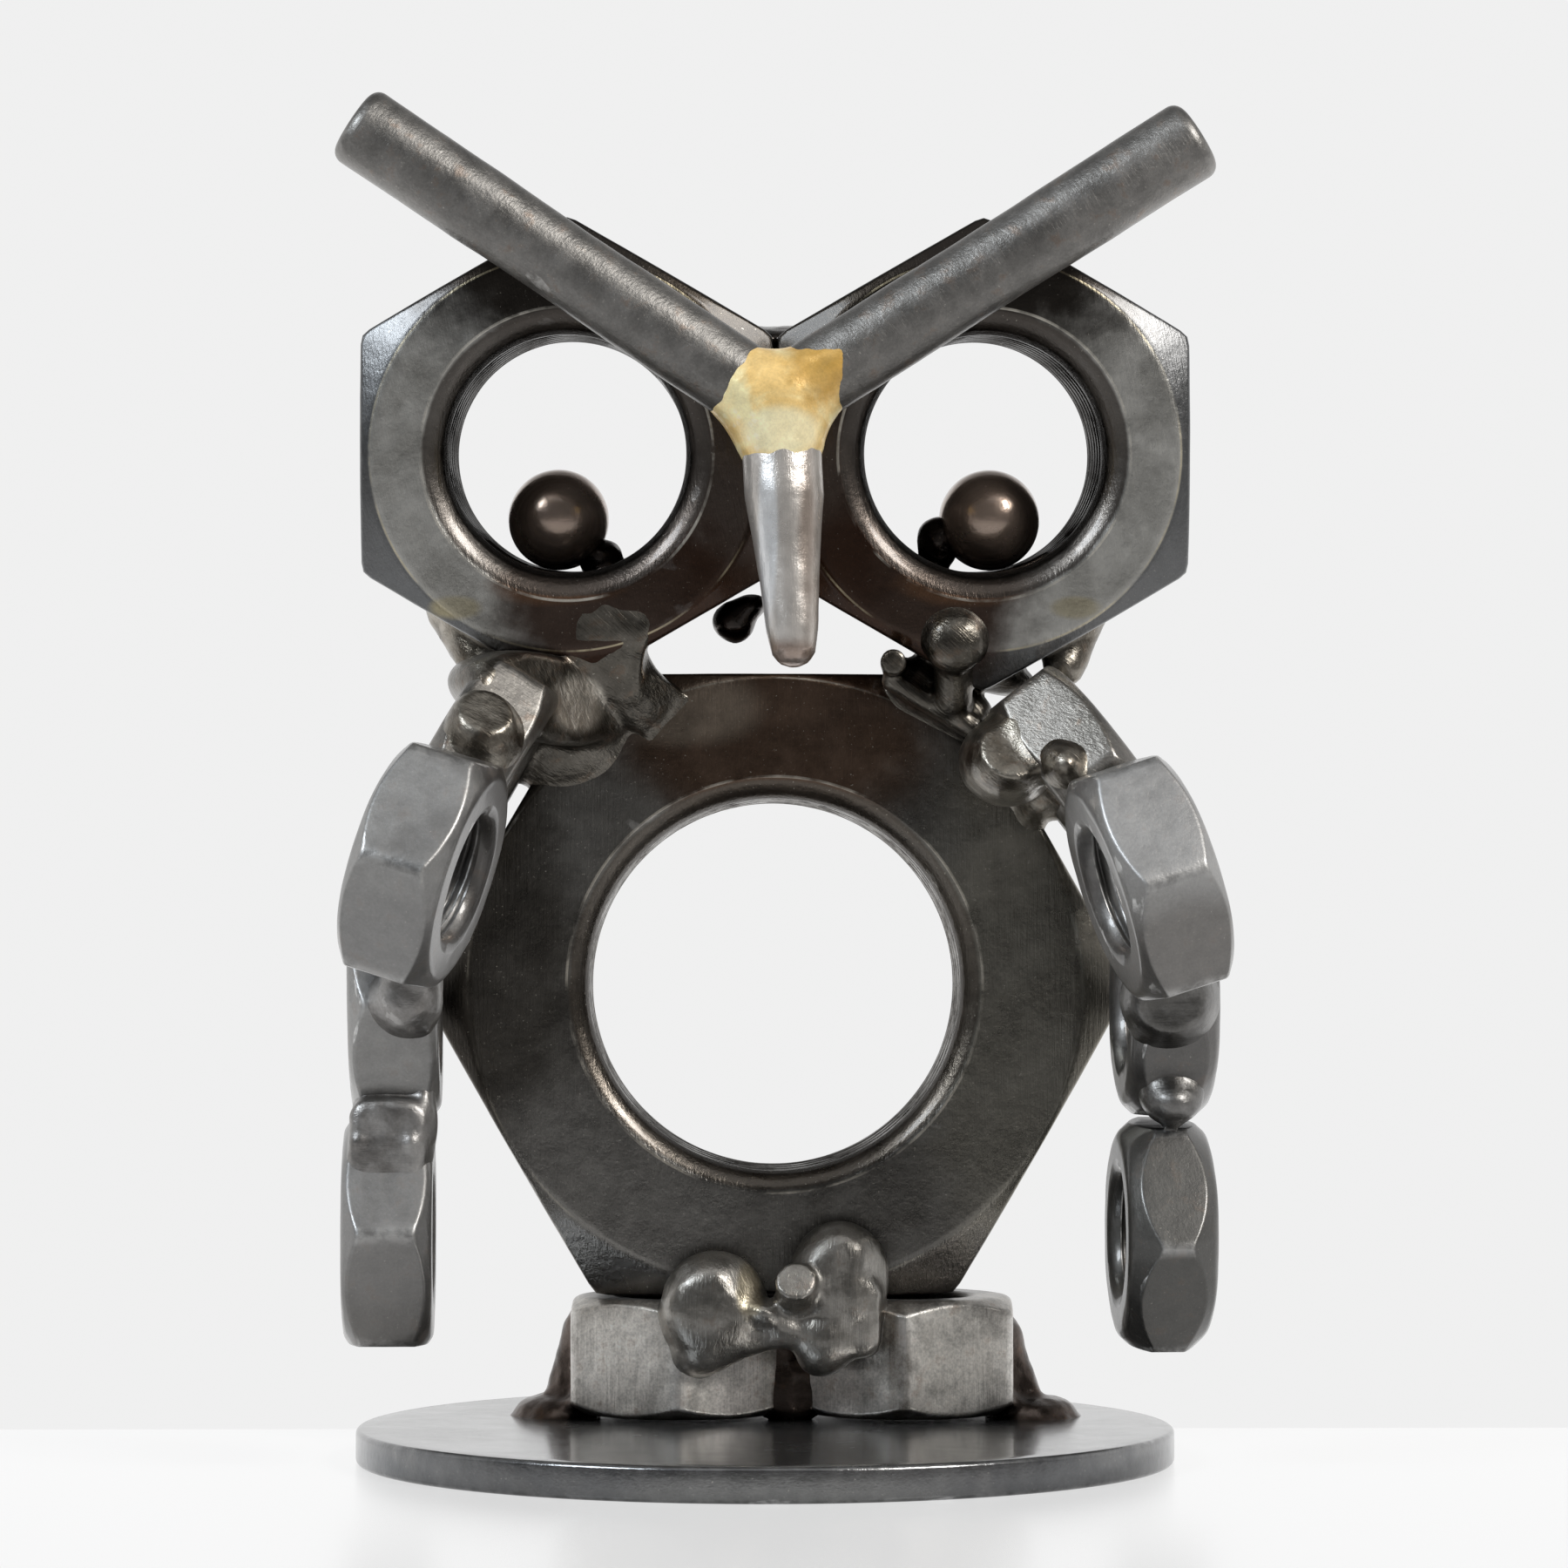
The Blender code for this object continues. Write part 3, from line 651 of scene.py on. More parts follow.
# Feet: bright flats, their facets painted lighter and darker as painted light and shade, with a brown stain
# between them, darker behind
looks["foot"] = steel(
    "steel_feet", (0.5, 0.475, 0.44), (0.8, 0.77, 0.72), rough=0.42, marks=(90, 2.6, 3000),
    tints=[((1.6, 4, 5), (0.9, 4, 4), (0.1, 0.06, 0.045), 0.8),
           # Facets painted lighter and darker: painted light and shade
           ((-2.6, 1, 7.5), (2.1, 8, 6), (0.8, 0.76, 0.72), 0.85),
           ((-12.8, 1, 9), (3.2, 8, 4.6), (0.95, 0.91, 0.85), 0.6),
           ((5.8, 2, 7), (2.3, 7, 6), (0.55, 0.5, 0.46), 0.7),
           ((16.8, 1, 8.9), (3.4, 7, 3.9), (0.62, 0.59, 0.54), 0.6),
           ((11.7, -1, 8), (0.9, 4, 6), (0.2, 0.17, 0.14), 0.6),
           ((2, 18, 10), (40, 8, 14), (0.26, 0.25, 0.24), 0.85)],
    stain=0.45, glints=0.65, contact_shade=0.5, mottle=0.24, patch=0.0035)

# Wings: grey, with painted shade next to the body and toward the disc, and flats painted darker and lighter
# as painted light and shade
looks["wing"] = steel(
    "steel_wings", (0.26, 0.255, 0.248), (0.32, 0.316, 0.308), rough=0.48, marks=(80, 0.6, 4200),
    tints=[((-22, -22, 46), (4, 12, 14), INNER_SHADE, 0.75),
           ((23.5, -22, 46), (4, 12, 14), INNER_SHADE, 0.8),
           ((34, -14, 20), (9, 16, 12), (0.075, 0.072, 0.066), 0.85),
           ((-31, -14, 13), (9, 16, 7), (0.15, 0.143, 0.134), 0.8),
           ((-30, -30, 43), (12, 12, 6), (0.25, 0.245, 0.24), 0.7),
           ((34, -30, 42), (12, 12, 6), (0.17, 0.16, 0.15), 0.7),
           ((34, -14, 39), (9, 12, 10), (0.1, 0.095, 0.09), 0.75),
           ((33, -30, 55), (9, 12, 5.5), (0.42, 0.415, 0.41), 0.7),
           ((-31, -14, 22), (9, 16, 7), (0.24, 0.235, 0.23), 0.6)],
    worn_and_lit_edges=0.95, mottle=0.08, coat=0.55, stain=0.15, glints=0.25)

# Shoulders: the uppermost wing nuts, browner and ground
looks["shoulder"] = steel(
    "steel_shoulders", (0.16, 0.15, 0.135), (0.26, 0.245, 0.225), rough=0.38, marks=(34, 2.2, 3200),
    stain=0.35, worn_and_lit_edges=0.9, glints=0.5)

# Disc: smooth and dark, with painted shade at the sides of its rim, bluish at the left as painted reflection,
# and painted light at the front of the rim
looks["disc"] = steel(
    "dark_steel_disc", (0.11, 0.112, 0.116), (0.15, 0.15, 0.15), rough=0.22, marks=(0, 0.4, 4200),
    tints=[((-36, -8, 0.4), (14, 14, 1.6), (0.055, 0.062, 0.07), 0.8),
           ((36, -8, 0.4), (16, 16, 1.7), (0.035, 0.036, 0.038), 0.85),
           ((0, -36, 0.6), (12, 5, 1.8), (0.2, 0.2, 0.195), 0.7)],
    coat=0.65, mottle=0.1, glints=0.35, metal=0.83)

# Brow rods: one grey steel with marks across each rod
for word, turn in (("left", -57), ("right", 57)):
    looks["rod_" + word] = steel(
        "steel_rod_" + word, (0.185, 0.178, 0.168), (0.235, 0.226, 0.214), rough=0.46,
        marks=(turn, 1.6, 3600), patch=0.004, mottle=0.14, bump=1.6, stain=0.35, glints=0.4)

# Beak: a painted highlight as a white streak left of the middle, brown along the right and at the tip
looks["beak"] = steel(
    "steel_beak", (0.7, 0.65, 0.6), (0.8, 0.75, 0.7), rough=0.3, marks=(90, 1.2, 4200),
    tints=[((0.1, -13, 80), (0.75, 4, 7), (1.0, 1.0, 1.0), 0.95),
           ((3.4, -10, 79), (0.9, 4, 9), (0.3, 0.22, 0.17), 0.7),
           ((1.4, -10, 69), (4, 6, 2), (0.25, 0.14, 0.09), 0.7)],
    metal=0.75, mottle=0.04, coat=0.5)

# Balls: smooth under thick lacquer
looks["ball"] = steel(
    "dark_balls", (0.46, 0.35, 0.28), (0.55, 0.42, 0.34), rough=0.24, coat=1.0, metal=0.8, worn_and_lit_edges=0.0, hollow_shade=0.0,
    mottle=0.04)

# Braze: pale gold, deeper at the right, and palest at the beak's root as painted light
looks["gold"] = steel(
    "pale_braze", (0.9, 0.62, 0.24), (1.0, 0.88, 0.5), rough=0.36,
    tints=[((4.9, -9, 94.6), (3.2, 8, 3.6), (0.6, 0.34, 0.065), 0.9),
           ((1.2, -13, 88.6), (3.0, 5, 1.8), (1.0, 0.93, 0.62), 0.75)],
    patch=0.0035, bump=1.2, worn_and_lit_edges=0.2, metal=0.25, mottle=0.1)

# Shoulder and back welds
looks["weld"] = steel(
    "weld_steel", (0.13, 0.113, 0.09), (0.3, 0.275, 0.235), rough=0.33, marks=(38, 3.0, 2600), patch=0.0025,
    bump=1.2, stain=0.35, worn_and_lit_edges=0.15, glints=0.5)

# Neck welds: dark and ground, with a bright edge under the left eye nut
looks["strap"] = steel(
    "strap_steel", (0.1, 0.09, 0.075), (0.17, 0.155, 0.132), rough=0.33, marks=(42, 5.0, 1700),
    tints=[((-16.3, -4, 65.8), (2.1, 6, 2.2), (0.95, 0.88, 0.78), 0.9)],
    patch=0.003, stain=0.3, worn_and_lit_edges=0.1, glints=0.5)

# Foot welds: ground, straw at the left one's inner corner
looks["toe"] = steel(
    "toe_welds", (0.28, 0.265, 0.24), (0.42, 0.4, 0.37), rough=0.36, marks=(90, 2.4, 3000),
    tints=[((-1.3, -4, 15.4), (1.1, 4, 2.4), (0.8, 0.7, 0.5), 0.7)],
    patch=0.003, stain=0.3, worn_and_lit_edges=0.12, hollow_shade=0.35, glints=0.5, contact_shade=0.6)

# Welds between the wing nuts, darker on the right
looks["seam"] = steel(
    "wing_welds", (0.2, 0.19, 0.18), (0.34, 0.33, 0.32), rough=0.42, marks=(0, 1.2, 4200), patch=0.003,
    bump=1.4, worn_and_lit_edges=0.3)
looks["seam_right"] = steel(
    "wing_welds_right", (0.1, 0.096, 0.09), (0.19, 0.185, 0.178), rough=0.4, marks=(0, 1.2, 4200),
    patch=0.003, bump=1.4, worn_and_lit_edges=0.4)

# Brown fillets at the disc and between the feet, black welds on the head
looks["fillet"] = steel(
    "brown_weld", (0.05, 0.036, 0.028), (0.13, 0.1, 0.085), rough=0.3, patch=0.003, bump=1.5, stain=0.4)
looks["soot"] = steel(
    "dark_weld", (0.028, 0.023, 0.02), (0.065, 0.05, 0.042), rough=0.25, patch=0.003, bump=1.5, worn_and_lit_edges=0.1)

# Eyes: dark brown round the beak and below, black on top as painted shade, paler behind; chamfers,
# countersink and bore painted dark as shade, bright rings as wear and painted highlight
for word, side in (("left", -1), ("right", 1)):
    looks["eye_" + word] = steel(
        "dark_steel_eye_" + word, (0.46, 0.45, 0.42), (0.56, 0.55, 0.52), rough=0.34, marks=(80, 1.5, 3800),
        tints=[((0.9, -5, 88), (10.5, 14, 18), (0.06, 0.04, 0.03), 0.95),
               ((side * 12 - 0.5, -5, 75), (10, 14, 8), (0.042, 0.019, 0.01), 0.95),
               ((side * 18 - 0.5, -5, 76.2), (5, 14, 1.6), (0.2, 0.1, 0.05), 0.6),
               ((side * 27, -5, 74.2), (2.0, 8, 0.9), (0.5, 0.42, 0.22), 0.5),
               # The next two: black on the top as painted shade
               ((side * 13 + 1, -5, 110), (21, 16, 15.5), (0.024, 0.019, 0.015), 0.98),
               ((0.9, 8, 100), (15, 20, 11), (0.024, 0.02, 0.016), 0.97),
               ((0.9, 25, 88), (60, 11, 40), (0.24, 0.23, 0.21), 0.9)],
        centre=tuple(middle("eye_nut_" + word) + HEAD_SINKS), axis=head_front,
        # Painted shade, blue-grey, on the chamfers
        outside=(17.15, (0.078, 0.081, 0.088), 0.85),
        # Painted shade in the countersink and the bore; the bright lines are wear and painted highlight
        rings=[(12.5, (0.085, 0.073, 0.064), 0.9),
               (10.9, (0.02, 0.017, 0.014), 0.95),
               (12.75, (0.95, 0.9, 0.8), 0.7, 0.16),
               (17.15, (0.8, 0.7, 0.48), 0.55, 0.12)],
        mottle=0.05, glints=0.35, worn_and_lit_edges=0.05)

for nut in nuts.values():
    nut.make(looks[nut.look])


# Base, balls and rods

def lathe(name, profile, steps, matrix=Matrix.Identity(4), wave=0.0, size=4.0, seed=0):
    # Turns (radius, height) points from axis to axis; wave is the depth of the dents and size their width
    profile = np.array(profile, float)
    angle = 2 * math.pi * np.arange(steps) / steps
    body = profile[1:-1]
    verts = np.stack([body[:, None, 0] * np.cos(angle), body[:, None, 0] * np.sin(angle),
                      np.broadcast_to(body[:, None, 1], (len(body), steps))], axis=-1).reshape(-1, 3)
    verts = np.vstack([verts, [(0, 0, profile[0, 1])], [(0, 0, profile[-1, 1])]])
    if wave:
        unit = verts * np.array((1, 1, 0))
        unit = unit / np.maximum(np.linalg.norm(unit, axis=1), 1e-6)[:, None]
        verts = verts + unit * (rough_noise(verts, size, seed) * wave)[:, None]
    n, rows = steps, len(body)
    faces = bands(rows - 1, rows, n)
    faces += [(rows * n, (k + 1) % n, k) for k in range(n)]
    faces += [(rows * n + 1, (rows - 1) * n + k, (rows - 1) * n + (k + 1) % n) for k in range(n)]
    m = np.array(matrix)
    return shown(name, verts @ m[:3, :3].T + m[:3, 3], faces)


def spread(points, gap):
    # More points along a profile, no further apart than the gap
    out = [points[0]]
    for a, b in zip(points, points[1:]):
        parts = max(1, int(math.ceil(math.dist(a, b) / gap)))
        out += [tuple(u + (v - u) * k / parts for u, v in zip(a, b)) for k in range(1, parts + 1)]
    return out


def disc():
    r, thick, edge = DISC_RADIUS, DISC_THICK, 0.45
    bends = np.linspace(0, math.pi / 2, 6)
    rim = [(0, 0), (r - 1.2, 0)]
    rim += [(r - edge + edge * math.sin(a), edge - edge * math.cos(a)) for a in bends]
    rim += [(r - edge + edge * math.cos(a), thick - edge + edge * math.sin(a)) for a in bends]
    rim += [(0, thick)]
    dress(lathe("base_disc_look", spread(rim, 1.5), 256), looks["disc"], "base_disc")


def ball(node):
    r = 4.5
    arc = [(r * math.sin(a), -r * math.cos(a)) for a in np.linspace(0, math.pi, 49)]
    arc[0], arc[-1] = (0, -r), (0, r)
    place = Matrix.Translation(middle(node) + HEAD_SINKS)
    dress(lathe(node + "_look", arc, 96, place, wave=0.012, size=1.2, seed=5), looks["ball"], node)


disc()
ball("pupil_ball_left")
ball("pupil_ball_right")

# The middle of the head's front and the way up it
between_eyes = middle("eye_nut_left").lerp(middle("eye_nut_right"), 0.5)
head = between_eyes + head_front * (EYE_SIZE["thick"] / 2) + HEAD_SINKS
head_up = Vector((0, head_front.z, -head_front.y))


def face_point(across, along, out):
    return head + Vector((across, 0, 0)) + head_up * along + head_front * out


ROD_RADIUS = 3.5
rod_away = ROD_RADIUS + 0.36
joint = face_point(-0.15, 4.15, rod_away)
brow_tips = {"left": face_point(-36.3, 28.35, rod_away), "right": face_point(36.3, 27.3, rod_away)}


def rod(word, seed, waist):
    # From the joint to the brow's tip, with a shallow waist and a rounded end
    start, edge, rows, spread_of_waist = 0.6, 1.1, 59, 0.16
    r = ROD_RADIUS
    way = brow_tips[word] - joint
    length = way.length
    outline = [(0, start), (r * 0.98, start)]
    for k in range(1, rows + 1):
        height = start + (length - edge - start) * k / rows
        dip = waist * math.exp(-((height / length - 0.5) / spread_of_waist) ** 2)
        outline.append((r * (1 - dip), height))
    bends = np.linspace(0.15, math.pi / 2, 7)
    outline += [(r - edge + edge * math.cos(a), length - edge + edge * math.sin(a)) for a in bends]
    outline.append((0, length))
    node = "brow_rod_" + word
    thing = lathe(node + "_look", outline, 72, pose(joint, way, 0), wave=0.035, size=3.0, seed=seed)
    dress(thing, looks["rod_" + word], node)


rod("left", 21, 0.035)
rod("right", 22, 0.02)

beak_top = face_point(0.25, 4.15, rod_away)
beak_tip = face_point(1.55, -18.2, rod_away + 4.8)


def beak():
    # The radius at each share of the length, from the joint to the tip
    start, rows = 0.6, 80
    taper = [(0.0, 3.5), (0.2, 3.42), (0.34, 3.4), (0.5, 2.95), (0.68, 2.55), (0.86, 2.22), (0.95, 1.85),
             (0.985, 1.3), (1.0, 0.5)]
    shares, radii = zip(*taper)
    way = beak_tip - beak_top
    length = way.length
    outline = [(0, start)]
    for k in range(rows + 1):
        share = k / rows
        outline.append((np.interp(share, shares, radii), start + (length - start) * share))
    outline.append((0, length))
    thing = lathe("beak_rod_look", outline, 72, pose(beak_top, way, 0), wave=0.03, size=2.5, seed=31)
    dress(thing, looks["beak"], "beak_rod")


beak()

# The brazed joint lies over the rods' roots like a thick skin that thins out at its edge
limbs = [capsule(joint, brow_tips["left"], ROD_RADIUS), capsule(joint, brow_tips["right"], ROD_RADIUS),
         capsule(beak_top, beak_tip, ROD_RADIUS, 3.2)]
braze_middle = np.array(face_point(0.3, 3.85, rod_away))


def braze(p):
    f = limbs[0](p)
    for limb in limbs[1:]:
        f = smin(f, limb(p), 2.2)
    q = p - braze_middle
    x, z = q[..., 0], q[..., 2]
    upper_left = 0.587 * (z - 4.1) - 0.81 * (x + 2.67)
    right_side, lower, upper, far = x - 5.3, -3.96 - z, z - 4.7, np.linalg.norm(q, axis=-1) - 8.6
    away = smax(smax(upper_left, right_side, 0.6), smax(lower, upper, 0.6), 0.6)
    away = away + 0.35 * noise(p, 2.2, 3) + 0.18 * noise(p, 0.8, 4)
    skin = np.clip(-away * 0.2, -0.5, 0.12)
    return smax(smax(f - skin + 0.04 * noise(p, 1.1, 8), away - 1.2, 0.3), far, 0.3)


BRAZE_REACH = np.array((9, 6, 10))
dress(surface("joint_braze_look", braze, braze_middle - BRAZE_REACH, braze_middle + BRAZE_REACH, 0.16),
      looks["gold"], "joint_braze")


# Welds

def weld(node, look, shapes, onto, blend=0.9, run=1.0, lump=0.12, step=0.25, holes=(), ending="_look"):
    # Lumps run together and onto the pieces they hold; away from the lumps the skin sinks into those pieces.
    # blend and run: how softly lumps join each other and the pieces; lump: the depth of the dents
    reach, lump_size, sink = 2.2, 1.6, 0.05
    low = np.min([s.box[0] for s in shapes], axis=0) - reach
    high = np.max([s.box[1] for s in shapes], axis=0) + reach

    def field(p):
        f = shapes[0](p)
        for shape in shapes[1:]:
            f = smin(f, shape(p), blend)
        f = f + lump * rough_noise(p, lump_size, 1)
        for hole in holes:
            f = smax(f, -hole(p), 0.5)
        held = onto[0](p)
        for other in onto[1:]:
            held = np.minimum(held, other(p))
        return smax(smin(f, held + sink + 0.35 * np.maximum(f, 0), run), f - reach, 0.2)
    return dress(surface(node + ending, field, low, high, step), looks[look], node)


def on_disc(p):
    half = DISC_THICK / 2
    return np.maximum(np.abs(p[..., 2] - half) - half, np.hypot(p[..., 0], p[..., 1]) - DISC_RADIUS)


BODY = nuts["body_nut"].field
EYE = {word: nuts["eye_nut_" + word].field for word in WORDS}
FOOT = {word: nuts["foot_nut_" + word].field for word in WORDS}
WING = {(word, number): nuts["wing_nut_%s_%d" % (word, number)].field for word, number in wing_axes}


def feet_welds():
    # A ground lump in the notch over each foot, a toe below the left one, a block below the right one, a bead
    # from one to the other and the cut wire stub on it
    left_plane, left_corner_plane = (-0.1, -0.99, -0.05), (0.64, -0.68, 0.36)
    right_plane, right_corner_plane = (0.04, -1, 0.03), (0.8, -0.6, 0)
    left_lump, left_cut, left_corner = at(820, 1500, -0.4), at(815, 1495, -4.2), at(850, 1472, -3.2)
    toe_top, toe_end, toe_cut = at(808, 1515, -0.9), at(806, 1548, -0.9), at(815, 1495, -3.9)
    right_lump, right_cut, right_corner = at(964, 1466, -0.1), at(968, 1464, -3.8), at(996, 1464, -2.7)
    block, block_cut, heel = at(968, 1512, -0.6), at(968, 1464, -3.3), at(948, 1538, -1.2)
    bead_left, bead_low, drop = at(824, 1546, -1.4), at(905, 1526, -2.2), at(878, 1508, -2.6)
    bead_on, bead_right = at(905, 1526, -2.0), at(945, 1534, -1.4)
    wire_root, wire_end = at(913, 1503, 0.2), at(913.5, 1470, -5.2)
    left_body = ground(ellipsoid(left_lump, (4.7, 4.6, 4.9)), left_cut, left_plane, 0.9)
    right_body = ground(ellipsoid(right_lump, (4.4, 4.6, 4.9)), right_cut, right_plane, 0.8)
    shapes = [ground(left_body, left_corner, left_corner_plane, 0.7),
              ground(capsule(toe_top, toe_end, 3.3, 2.4), toe_cut, left_plane, 0.6),
              capsule(bead_left, bead_low, 1.5, 1.3), ellipsoid(drop, (1.6, 1.6, 1.1), 25),
              ground(right_body, right_corner, right_corner_plane, 0.6),
              ground(slab(block, (3.2, 3.0, 3.4)), block_cut, right_plane, 0.7),
              ellipsoid(heel, (2.7, 2.8, 3.3), 20), capsule(bead_on, bead_right, 1.4, 1.8),
              bar(wire_root, wire_end, 1.75)]
    feet = [FOOT["left"], FOOT["right"]]
    weld("weld_feet", "toe", shapes, [BODY] + feet, blend=1.1, run=0.7, lump=0.05, step=0.2)
    # The dark weld in the gap between the two feet
    gap_top, gap_low = at(907, 1500, 5.4), at(907, 1606, 5.4)
    weld("weld_feet", "fillet", [capsule(gap_top, gap_low, 1.7, 2.3)], feet, run=1.6, ending="_gap")


def base_weld(word, top, low, pool, pool_size):
    # A bead down the outer side of a foot that spreads on the disc
    weld("weld_base_" + word, "fillet", [capsule(top, low, 1.2, 2.0), ellipsoid(pool, pool_size)],
         [FOOT[word], on_disc], run=2.4)


def neck_weld_left():
    # A strap from the eye nut down to the body, ground to one slope, and broad lumps with two seams
    slope, foot_plane, side_plane = (0, -0.883, -0.469), (0.42, -0.82, -0.39), (0.78, -0.62, 0.08)
    face = tuple(face_point(0, -17.6, 0.16))
    face_plane = (0, -1, -0.009)
    strap, strap_top = at(700, 728, -3.7), at(700, 746, -0.9)
    strap_foot, foot_cut = at(744, 806, 2.4), at(725, 800, -0.83)
    strap_upper, strap_lower = at(708, 768, 0.6), at(732, 800, 2.0)
    side_lump, side_cut, low_lump = at(626, 802, -4.4), at(690, 800, -0.9), at(640, 840, 3.4)
    seam_start, seam_bend = at(622, 756, -8.5), at(650, 768, -6.0)
    seam_on, seam_end = at(650, 766, -7.0), at(704, 790, -3.4)
    strap_block = ground(slab(strap_top, (3.1, 3.6, 3.8), 10, edge=1.4), face, face_plane, 0.12)
    shapes = [ground(strap_block, strap, slope, 0.5),
              ground(slab(strap_foot, (3.7, 3.0, 2.5), 40), foot_cut, foot_plane, 0.3),
              ground(capsule(strap_upper, strap_lower, 2.6, 2.4), strap, slope, 0.4),
              ground(ellipsoid(side_lump, (8.6, 10.5, 3.8), 12), side_cut, side_plane, 1.2),
              ellipsoid(low_lump, (6.6, 3.6, 5.4), 6)]
    seams = [capsule(seam_start, seam_bend, 1.2, 1.0), capsule(seam_on, seam_end, 1.1, 0.7)]
    weld("weld_neck_left", "strap", shapes, [BODY, EYE["left"], WING["left", 1]], blend=1.2, run=0.5,
         lump=0.04, holes=seams)


def neck_weld_right():
    # A lump and a bead under the eye nut, a thin wire stub and two runs to the right
    lump, bead_top, bead_low = at(1096, 737, -3.6), at(1092, 756, -2.4), at(1094, 802, -0.2)
    wire_root, wire_end = at(1025, 762, 2.0), at(1025.5, 760, -6.0)
    run_left, run_right = at(1024, 782, 0.2), at(1118, 836, 0.2)
    fill_left, fill_right, last_lump = at(1052, 786, 2.4), at(1112, 822, 2.4), at(1150, 779, 3.0)
    shapes = [ellipsoid(lump, (2.7, 1.7, 2.7)), capsule(bead_top, bead_low, 1.4, 1.7),
              bar(wire_root, wire_end, 1.12), capsule(run_left, run_right, 0.9, 1.1),
              capsule(fill_left, fill_right, 2.5, 2.2), ellipsoid(last_lump, (3.0, 3.5, 1.5), 10)]
    weld("weld_neck_right", "strap", shapes, [BODY, EYE["right"]], blend=0.6, run=0.9, lump=0.05)


def shoulder_welds():
    # Lumps on the shoulders, ground where they face up and forward
    left_lump, left_cut, left_plane = at(556, 838, -14.6), at(556, 826, -16.6), (0.15, -0.75, 0.65)
    weld("weld_shoulder_left", "weld",
         [ground(ellipsoid(left_lump, (2.9, 2.9, 3.4), -15), left_cut, left_plane)],
         [WING["left", 1], WING["left", 2]], run=1.4, lump=0.06)
    right_lump, right_cut, right_plane = at(1156, 874, -5.6), at(1165, 862, -13.4), (0.05, -0.86, 0.5)
    low_lump = at(1196, 916, 2.2)
    weld("weld_shoulder_right", "weld",
         [ground(ellipsoid(right_lump, (4.2, 10.2, 3.9), 6), right_cut, right_plane),
          ellipsoid(low_lump, (1.8, 3.0, 2.6), 28)],
         [BODY, WING["right", 1]], blend=1.6, run=1.4, lump=0.06)


def back_welds():
    left_top, left_low = at(525, 704, 3.4), at(560, 766, 1.2)
    right_top, right_low = at(1240, 708, 3.4), at(1222, 764, 1.2)
    weld("weld_back_left", "weld", [capsule(left_top, left_low, 2.5, 2.3)],
         [EYE["left"], WING["left", 1]], step=0.32)
    weld("weld_back_right", "weld", [capsule(right_top, right_low, 2.2, 1.9)],
         [EYE["right"], WING["right", 1]], step=0.32)


def head_welds():
    # The weld in the notch on top, the black drip between the eye nuts, and what holds the balls
    eyes = [EYE["left"], EYE["right"]]
    notch = EYE_SIZE["af"] / 2 * TAN30
    crown = tuple(face_point(0, notch, 0) + Vector((0, 10.8, 0.2)))
    weld("weld_crown", "soot", [ellipsoid(crown, (2.9, 6.5, 1.7))], eyes, step=0.36)
    drip, drip_top = at(842, 716, 8.0), at(856, 700, 8.0)
    weld("weld_drip", "soot",
         [ellipsoid(drip, (1.9, 2.3, 1.7), 20), ellipsoid(drip_top, (2.0, 2.2, 1.2), -25)], eyes,
         run=0.6, lump=0.08)
    beside_ball = {"left": (3.7, 0.3, -3.4), "right": (-4.6, 0.3, -2.0)}
    sizes = {"left": (2.0, 2.0, 1.7), "right": (1.9, 2.2, 2.4)}
    for word in WORDS:
        centre = middle("pupil_ball_" + word) + HEAD_SINKS
        place = tuple(c + b for c, b in zip(centre, beside_ball[word]))
        weld("weld_pupil_" + word, "soot", [ellipsoid(place, sizes[word])], [EYE[word]], run=0.6)


def wing_weld(word, upper, look, shapes, **values):
    # Between a wing nut and the next one down
    node = "weld_wing_%s_%d%d" % (word, upper, upper + 1)
    weld(node, look, shapes, [WING[word, upper], WING[word, upper + 1]], **values)


def wing_weld_12():
    lump, left_bead, right_bead = at(1222, 880, -13.6), at(1212, 868, -15.4), at(1232, 868, -15.4)
    shapes = [ellipsoid(lump, (1.7, 4.0, 2.1), -35), ellipsoid(left_bead, (0.6, 0.6, 0.5)),
              ellipsoid(right_bead, (0.5, 0.5, 0.4))]
    wing_weld("right", 1, "weld", shapes, lump=0.06)


def wing_welds_23():
    left_lump, right_lump, right_cut = at(470, 1146, -18.6), at(1340, 1146, -17.4), at(1340, 1146, -20.3)
    right_plane = (0, -1, -0.12)
    wing_weld("left", 2, "seam", [ellipsoid(left_lump, (2.8, 3.2, 2.9), -20)], run=1.8, lump=0.06)
    right_body = ground(ellipsoid(right_lump, (3.9, 4.0, 3.6)), right_cut, right_plane)
    wing_weld("right", 2, "seam_right", [right_body], run=1.8, lump=0.06)


def wing_welds_34():
    block, block_cut, block_side = at(447, 1302, -13.2), at(447, 1302, -16.1), at(486, 1292, -13.6)
    left_bead, right_bead, right_lump = at(412, 1310, -15.4), at(472, 1312, -15.7), at(1346, 1264, -14.2)
    shapes = [ground(slab(block, (3.3, 3.4, 3.1)), block_cut, FRONT, 0.5),
              ellipsoid(block_side, (1.2, 2.2, 3.2)), ellipsoid(left_bead, (0.7, 0.9, 0.8)),
              ellipsoid(right_bead, (0.6, 0.7, 0.9))]
    wing_weld("left", 3, "seam", shapes, blend=0.5, run=0.8, lump=0.08)
    wing_weld("right", 3, "seam_right", [ellipsoid(right_lump, (2.4, 2.7, 1.9))], run=1.4, lump=0.06)


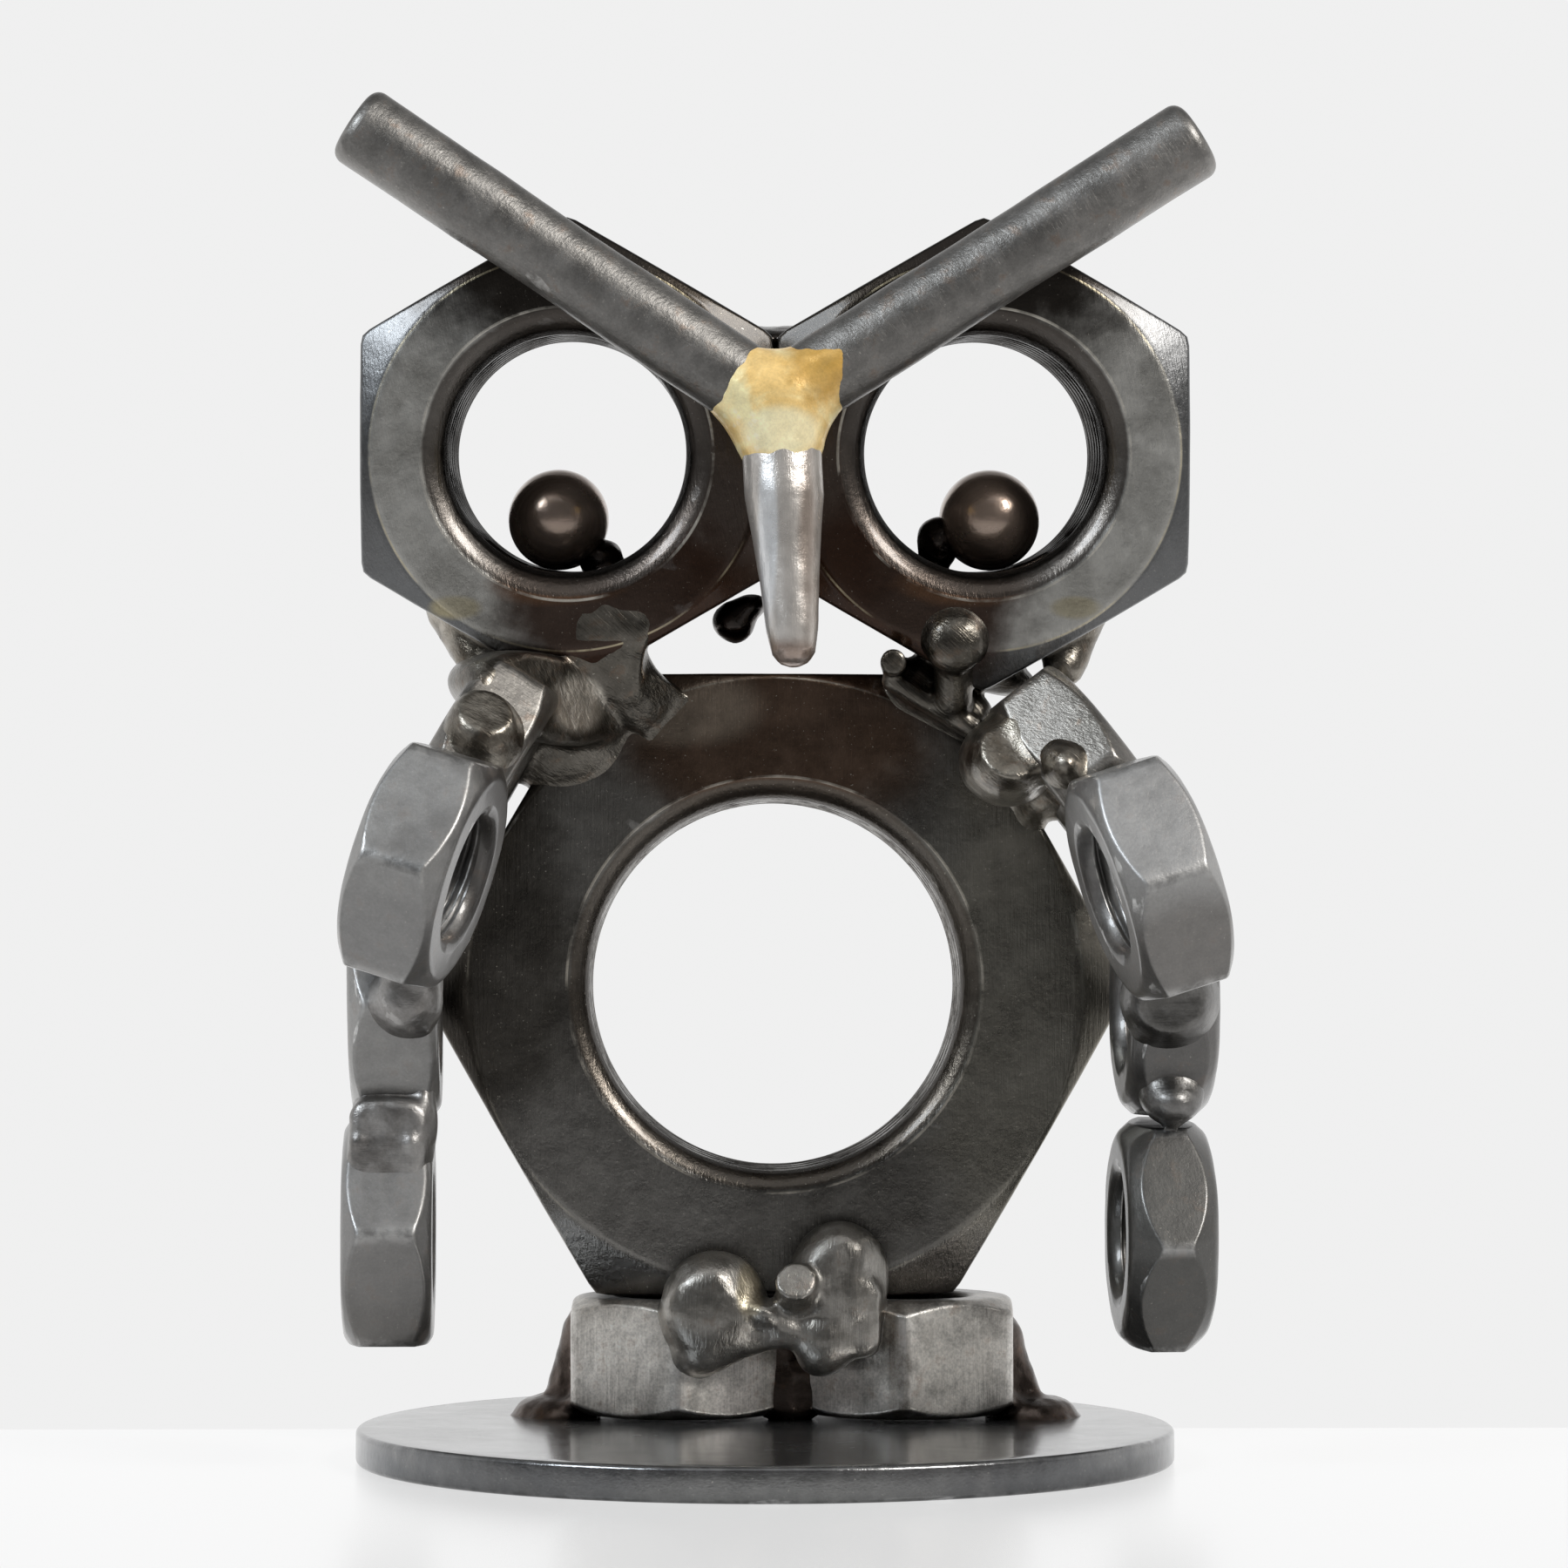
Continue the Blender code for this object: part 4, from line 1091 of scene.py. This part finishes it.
feet_welds()
base_weld("left", top=(-16.6, 10.0, 10.5), low=(-17.4, 10.0, 5.2),
          pool=(-18.6, 10.0, 3.6), pool_size=(3.2, 4.0, 1.3))
base_weld("right", top=(21.6, 8.6, 9.8), low=(22.6, 8.6, 5.2),
          pool=(23.9, 8.6, 3.6), pool_size=(3.4, 4.0, 1.3))
neck_weld_left()
neck_weld_right()
shoulder_welds()
wing_weld_12()
back_welds()
head_welds()
wing_welds_23()
wing_welds_34()


# Camera, table and light
SENSOR = 36
lens = bpy.data.cameras.new("camera")
lens.sensor_width = SENSOR
lens.lens = SENSOR * FOCUS / VIEW
lens.clip_start = 0.01
camera = bpy.data.objects.new("camera", lens)
bpy.context.scene.collection.objects.link(camera)
stand = Matrix((right, up, -ahead)).transposed().to_4x4()
stand.translation = eye_point * MM
camera.matrix_world = stand
bpy.context.scene.camera = camera
bpy.context.scene.view_settings.view_transform = "Standard"


def pale_table():
    look = bpy.data.materials.new("pale_table")
    look.use_nodes = True
    values = {"Base Color": (0.1, 0.1, 0.1, 1), "Roughness": 0.25, "Specular IOR Level": 0.15,
              "Emission Color": (1, 1, 1, 1), "Emission Strength": 0.6}
    for socket, value in values.items():
        look.node_tree.nodes["Principled BSDF"].inputs[socket].default_value = value
    return look


# The table ends where this row of the view meets the ground
TABLE_ROW = 1640
TABLE_SIDE, TABLE_FRONT = 400, -95
PROBE = 100.0
near_height, far_height = [at(VIEW / 2, TABLE_ROW, depth)[2] for depth in (0.0, PROBE)]
table_back = PROBE * near_height / (near_height - far_height)
corners = [(-TABLE_SIDE, TABLE_FRONT, 0), (TABLE_SIDE, TABLE_FRONT, 0), (TABLE_SIDE, table_back, 0),
           (-TABLE_SIDE, table_back, 0)]
floor = shown("floor", corners, [(0, 1, 2, 3)], False)
floor.data.materials.append(pale_table())


def softbox(name, place, target, size, power, colour):
    # Places and sizes in metres
    light = bpy.data.lights.new(name, "AREA")
    light.shape = "RECTANGLE"
    light.size, light.size_y = size
    light.energy = power
    light.color = colour
    thing = bpy.data.objects.new(name, light)
    bpy.context.scene.collection.objects.link(thing)
    thing.location = Vector(place)
    thing.rotation_euler = (Vector(target) - Vector(place)).to_track_quat("-Z", "Y").to_euler()


softbox("left_light", (-0.75, -0.545, 0.68), (0, 0, 0.08), (0.42, 0.28), power=7.0, colour=(0.86, 0.93, 1.0))
softbox("right_light", (0.72, -0.61, 0.68), (0, 0, 0.08), (0.42, 0.28), power=9.5, colour=(1.0, 0.98, 0.95))
softbox("top_light", (0, -0.55, 1.0), (0, 0, 0.06), (0.9, 0.7), power=1.0, colour=(1, 1, 1))


def backdrop():
    # White behind and beside the owl, dark in front of it and above; the camera sees one pale grey
    world = bpy.data.worlds.new("studio")
    bpy.context.scene.world = world
    world.use_nodes = True
    world.node_tree.nodes.clear()
    nodes = Nodes(world.node_tree)
    split = nodes.node("ShaderNodeSeparateXYZ")
    nodes.feed(nodes.node("ShaderNodeTexCoord").outputs["Generated"], split.inputs[0])
    depth, height = split.outputs[1], split.outputs[2]
    behind = nodes.ramp(depth, -0.35, 0.35, 0.0, 0.8)
    low_down = nodes.ramp(height, 0.25, 0.8, 1.0, 0.2)
    under = nodes.ramp(height, -0.25, 0.0, 0.46, 0.08)
    strength = nodes.node("ShaderNodeMix")
    nodes.feed(nodes.node("ShaderNodeLightPath").outputs["Is Camera Ray"], strength.inputs[0])
    nodes.feed(nodes.maths("MULTIPLY_ADD", behind, low_down, under), strength.inputs[2])
    strength.inputs[3].default_value = 0.87
    shine = nodes.node("ShaderNodeBackground", Color=(1, 1, 1, 1))
    nodes.feed(strength.outputs[0], shine.inputs["Strength"])
    nodes.feed(shine.outputs[0], nodes.node("ShaderNodeOutputWorld").inputs[0])


backdrop()
